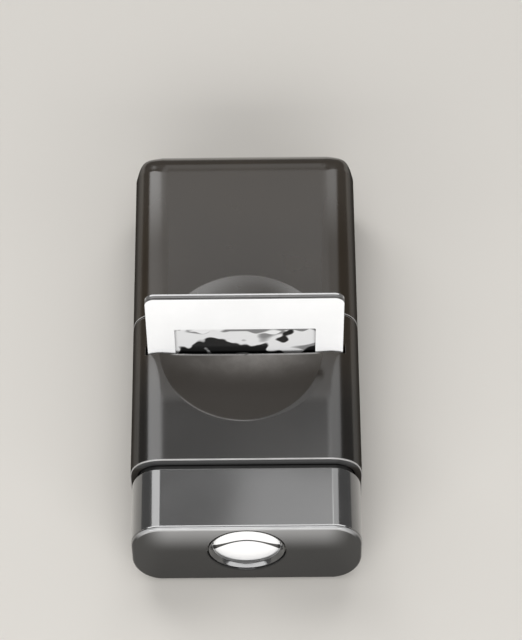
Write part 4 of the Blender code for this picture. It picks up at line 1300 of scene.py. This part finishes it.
def build_screws(steel):
    """Cross-headed screws that hold the tray from below."""
    wide = SCREW_HEAD_RADIUS
    shank = SCREW_SHANK_RADIUS
    low = SCREW_HEAD_LOW
    high = SCREW_HEAD_HIGH
    points = [
        (0, low), (wide - 0.0007, low + 0.00004), (wide - 0.0003, low + 0.00016),
        (wide, low + 0.00036), (wide, high), (shank, high), (shank - 0.00015, high + 0.0003),
    ]
    for turn in range(SCREW_THREADS):
        start = high + 0.0005 + SCREW_PITCH * turn
        points += [(shank - 0.0002, start), (shank, start + SCREW_PITCH / 2)]
    points += [(shank - 0.0003, SCREW_TIP - 0.0003), (0, SCREW_TIP)]
    screw = spun("case_screw_left_head", points, at(-SCREW_X, SCREW_Y, 0), Z, steps=40)
    half = CROSS_LENGTH / 2
    slim = CROSS_WIDTH / 2
    for size_x, size_y in ((half, slim), (slim, half)):
        carve(screw, add_box(
            "cross", (-SCREW_X - size_x, SCREW_Y - size_y, 0),
            (-SCREW_X + size_x, SCREW_Y + size_y, low + CROSS_DEPTH)
        ))
    smooth(screw, angle=40.0)
    other = turned_about(copied(screw, "case_screw_right_head"), at(0, SCREW_Y, 0))
    dress(screw, steel, "viewer_body", "screw_steel", "case_screw_left")
    dress(other, steel, "viewer_body", "screw_steel", "case_screw_right")


def build_plunger(finish):
    """Push button of the switch with a domed head."""
    low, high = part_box("switch_plunger")
    middle = (low + high) / 2
    head = (high.x - low.x) / 2
    stem = head * 2 / 3
    start = low.y - middle.y
    end = high.y - middle.y
    points = [
        (0, start), (head * 0.45, start + 0.00008), (head * 0.75, start + 0.0003),
        (head * 0.93, start + 0.0006), (head, start + 0.0011), (head, end - 0.0021),
        (head - 0.0001, end - 0.0020), (stem, end - 0.0020), (stem, end - 0.0002),
        (stem - 0.0002, end), (0, end),
    ]
    plunger = spun("switch_push_button", points, middle, Y, steps=40)
    smooth(plunger, angle=40.0)
    dress(plunger, finish, "switch_button", "plunger_plastic", "switch_plunger")


def build_inside():
    """The battery tray, the gate, the cells, the lamp, the contacts and the screws."""
    inner = moulded(
        "inner_black", shade=0.012, rough=0.6, warm=0.0, grain=7000.0, grain_depth=0.00002
    )
    cream = moulded("plunger_cream", shade=0.55, rough=0.4, warm=0.05)
    opal = moulded("opal_sheet", shade=0.82, rough=0.5)
    white = moulded("reflector_white", shade=0.78, rough=0.45)
    board = pressed_board(
        "holder_board", dark=(0.23, 0.14, 0.07, 1.0), pale=(0.30, 0.19, 0.10, 1.0), rough=0.5
    )
    tin = rolled_metal("tinned_strip", (0.70, 0.68, 0.62, 1.0), rough=0.3, lines_along=Y)
    steel = rolled_metal("bright_steel", (0.60, 0.60, 0.58, 1.0), rough=0.25, lines_along=Z)
    brass = rolled_metal("lamp_brass", (0.72, 0.56, 0.28, 1.0), rough=0.3, lines_along=X)
    build_cells(tin)
    build_bulb_cap(brass, tin)
    build_screws(steel)
    build_plunger(cream)
    build_retainer(inner)
    ease("battery_tray", inner, width=0.0002)
    ease("gate_frame", inner, width=0.0002)
    ease("aperture_mask", inner, width=0.00008)
    for node in ("slide_presser_left", "slide_presser_right"):
        ease(node, steel, width=0.00006)
    for node in ("cell_link_contact", "switch_contact", "lamp_contact", "switch_leaf"):
        ease(node, tin, width=0.00008)
    ease("diffuser", opal, width=0.0001)
    ease("reflector", white, width=0.0001)
    ease("lamp_holder", board, width=0.0003)
    coat("bulb_glass", lamp_glass("lamp_glass"))


# Stage

def build_stage():
    """Plain pale floor."""
    bpy.ops.object.select_all(action="DESELECT")
    bpy.ops.mesh.primitive_plane_add(size=FLOOR_SIDE, location=(0, 0, 0))
    floor = bpy.context.active_object
    floor.name = "floor"
    make = Maker("floor_pale")
    make.set(Base_Color=FLOOR_COLOUR, Roughness=1.0, Specular_IOR_Level=0.0)
    floor.data.materials.append(make.material)


def softbox(name, way, width, depth, radiance):
    """A rectangular soft light in a direction from the object, as bright as its radiance."""
    data = bpy.data.lights.new(name, "AREA")
    data.shape = "RECTANGLE"
    data.size = width
    data.size_y = depth
    data.energy = radiance * math.pi * width * depth
    light = bpy.data.objects.new(name, data)
    bpy.context.scene.collection.objects.link(light)
    light.location = Vector(way).normalized() * LIGHT_DISTANCE
    towards = Vector(LIGHT_TARGET) - light.location
    light.rotation_euler = towards.to_track_quat("-Z", "Y").to_euler()


def build_world():
    """Even room light."""
    world = bpy.data.worlds.new("studio")
    bpy.context.scene.world = world
    world.use_nodes = True
    back = world.node_tree.nodes["Background"]
    back.inputs["Color"].default_value = grey(1.0)
    back.inputs["Strength"].default_value = WORLD_STRENGTH


def build_camera():
    """The photograph's camera."""
    back = Vector((
        math.sin(CAMERA_AZIMUTH) * math.cos(CAMERA_ELEVATION),
        -math.cos(CAMERA_AZIMUTH) * math.cos(CAMERA_ELEVATION),
        math.sin(CAMERA_ELEVATION),
    ))
    right = (-back).cross(Vector((0, 0, 1))).normalized()
    up = right.cross(-back)
    side = math.cos(CAMERA_ROLL) * right + math.sin(CAMERA_ROLL) * up
    top = -math.sin(CAMERA_ROLL) * right + math.cos(CAMERA_ROLL) * up
    turn = Matrix((side, top, back)).transposed().to_4x4()
    data = bpy.data.cameras.new("camera")
    data.sensor_width = CAMERA_SENSOR
    data.lens = CAMERA_LENS
    data.shift_x, data.shift_y = CAMERA_SHIFT
    data.clip_start = CAMERA_NEAREST
    camera = bpy.data.objects.new("camera", data)
    bpy.context.scene.collection.objects.link(camera)
    place = at(*CAMERA_TARGET) + back * CAMERA_DISTANCE
    camera.matrix_world = Matrix.Translation(place) @ turn
    bpy.context.scene.camera = camera


def main():
    """Build the looks."""
    housing = body_plastic("black_grain")
    build_front_housing(housing)
    build_rear_case(housing)
    build_eyepiece(block_plastic("block_gloss"))
    build_bezel(bezel_plastic("bezel_gloss"))
    build_lens(painted_lens("lens_painted_reflection"))
    build_slide()
    build_inside()
    build_stage()
    build_world()
    for light in LIGHTS:
        softbox(*light)
    build_camera()
    scene = bpy.context.scene
    scene.view_settings.view_transform = "Standard"
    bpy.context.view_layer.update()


main()
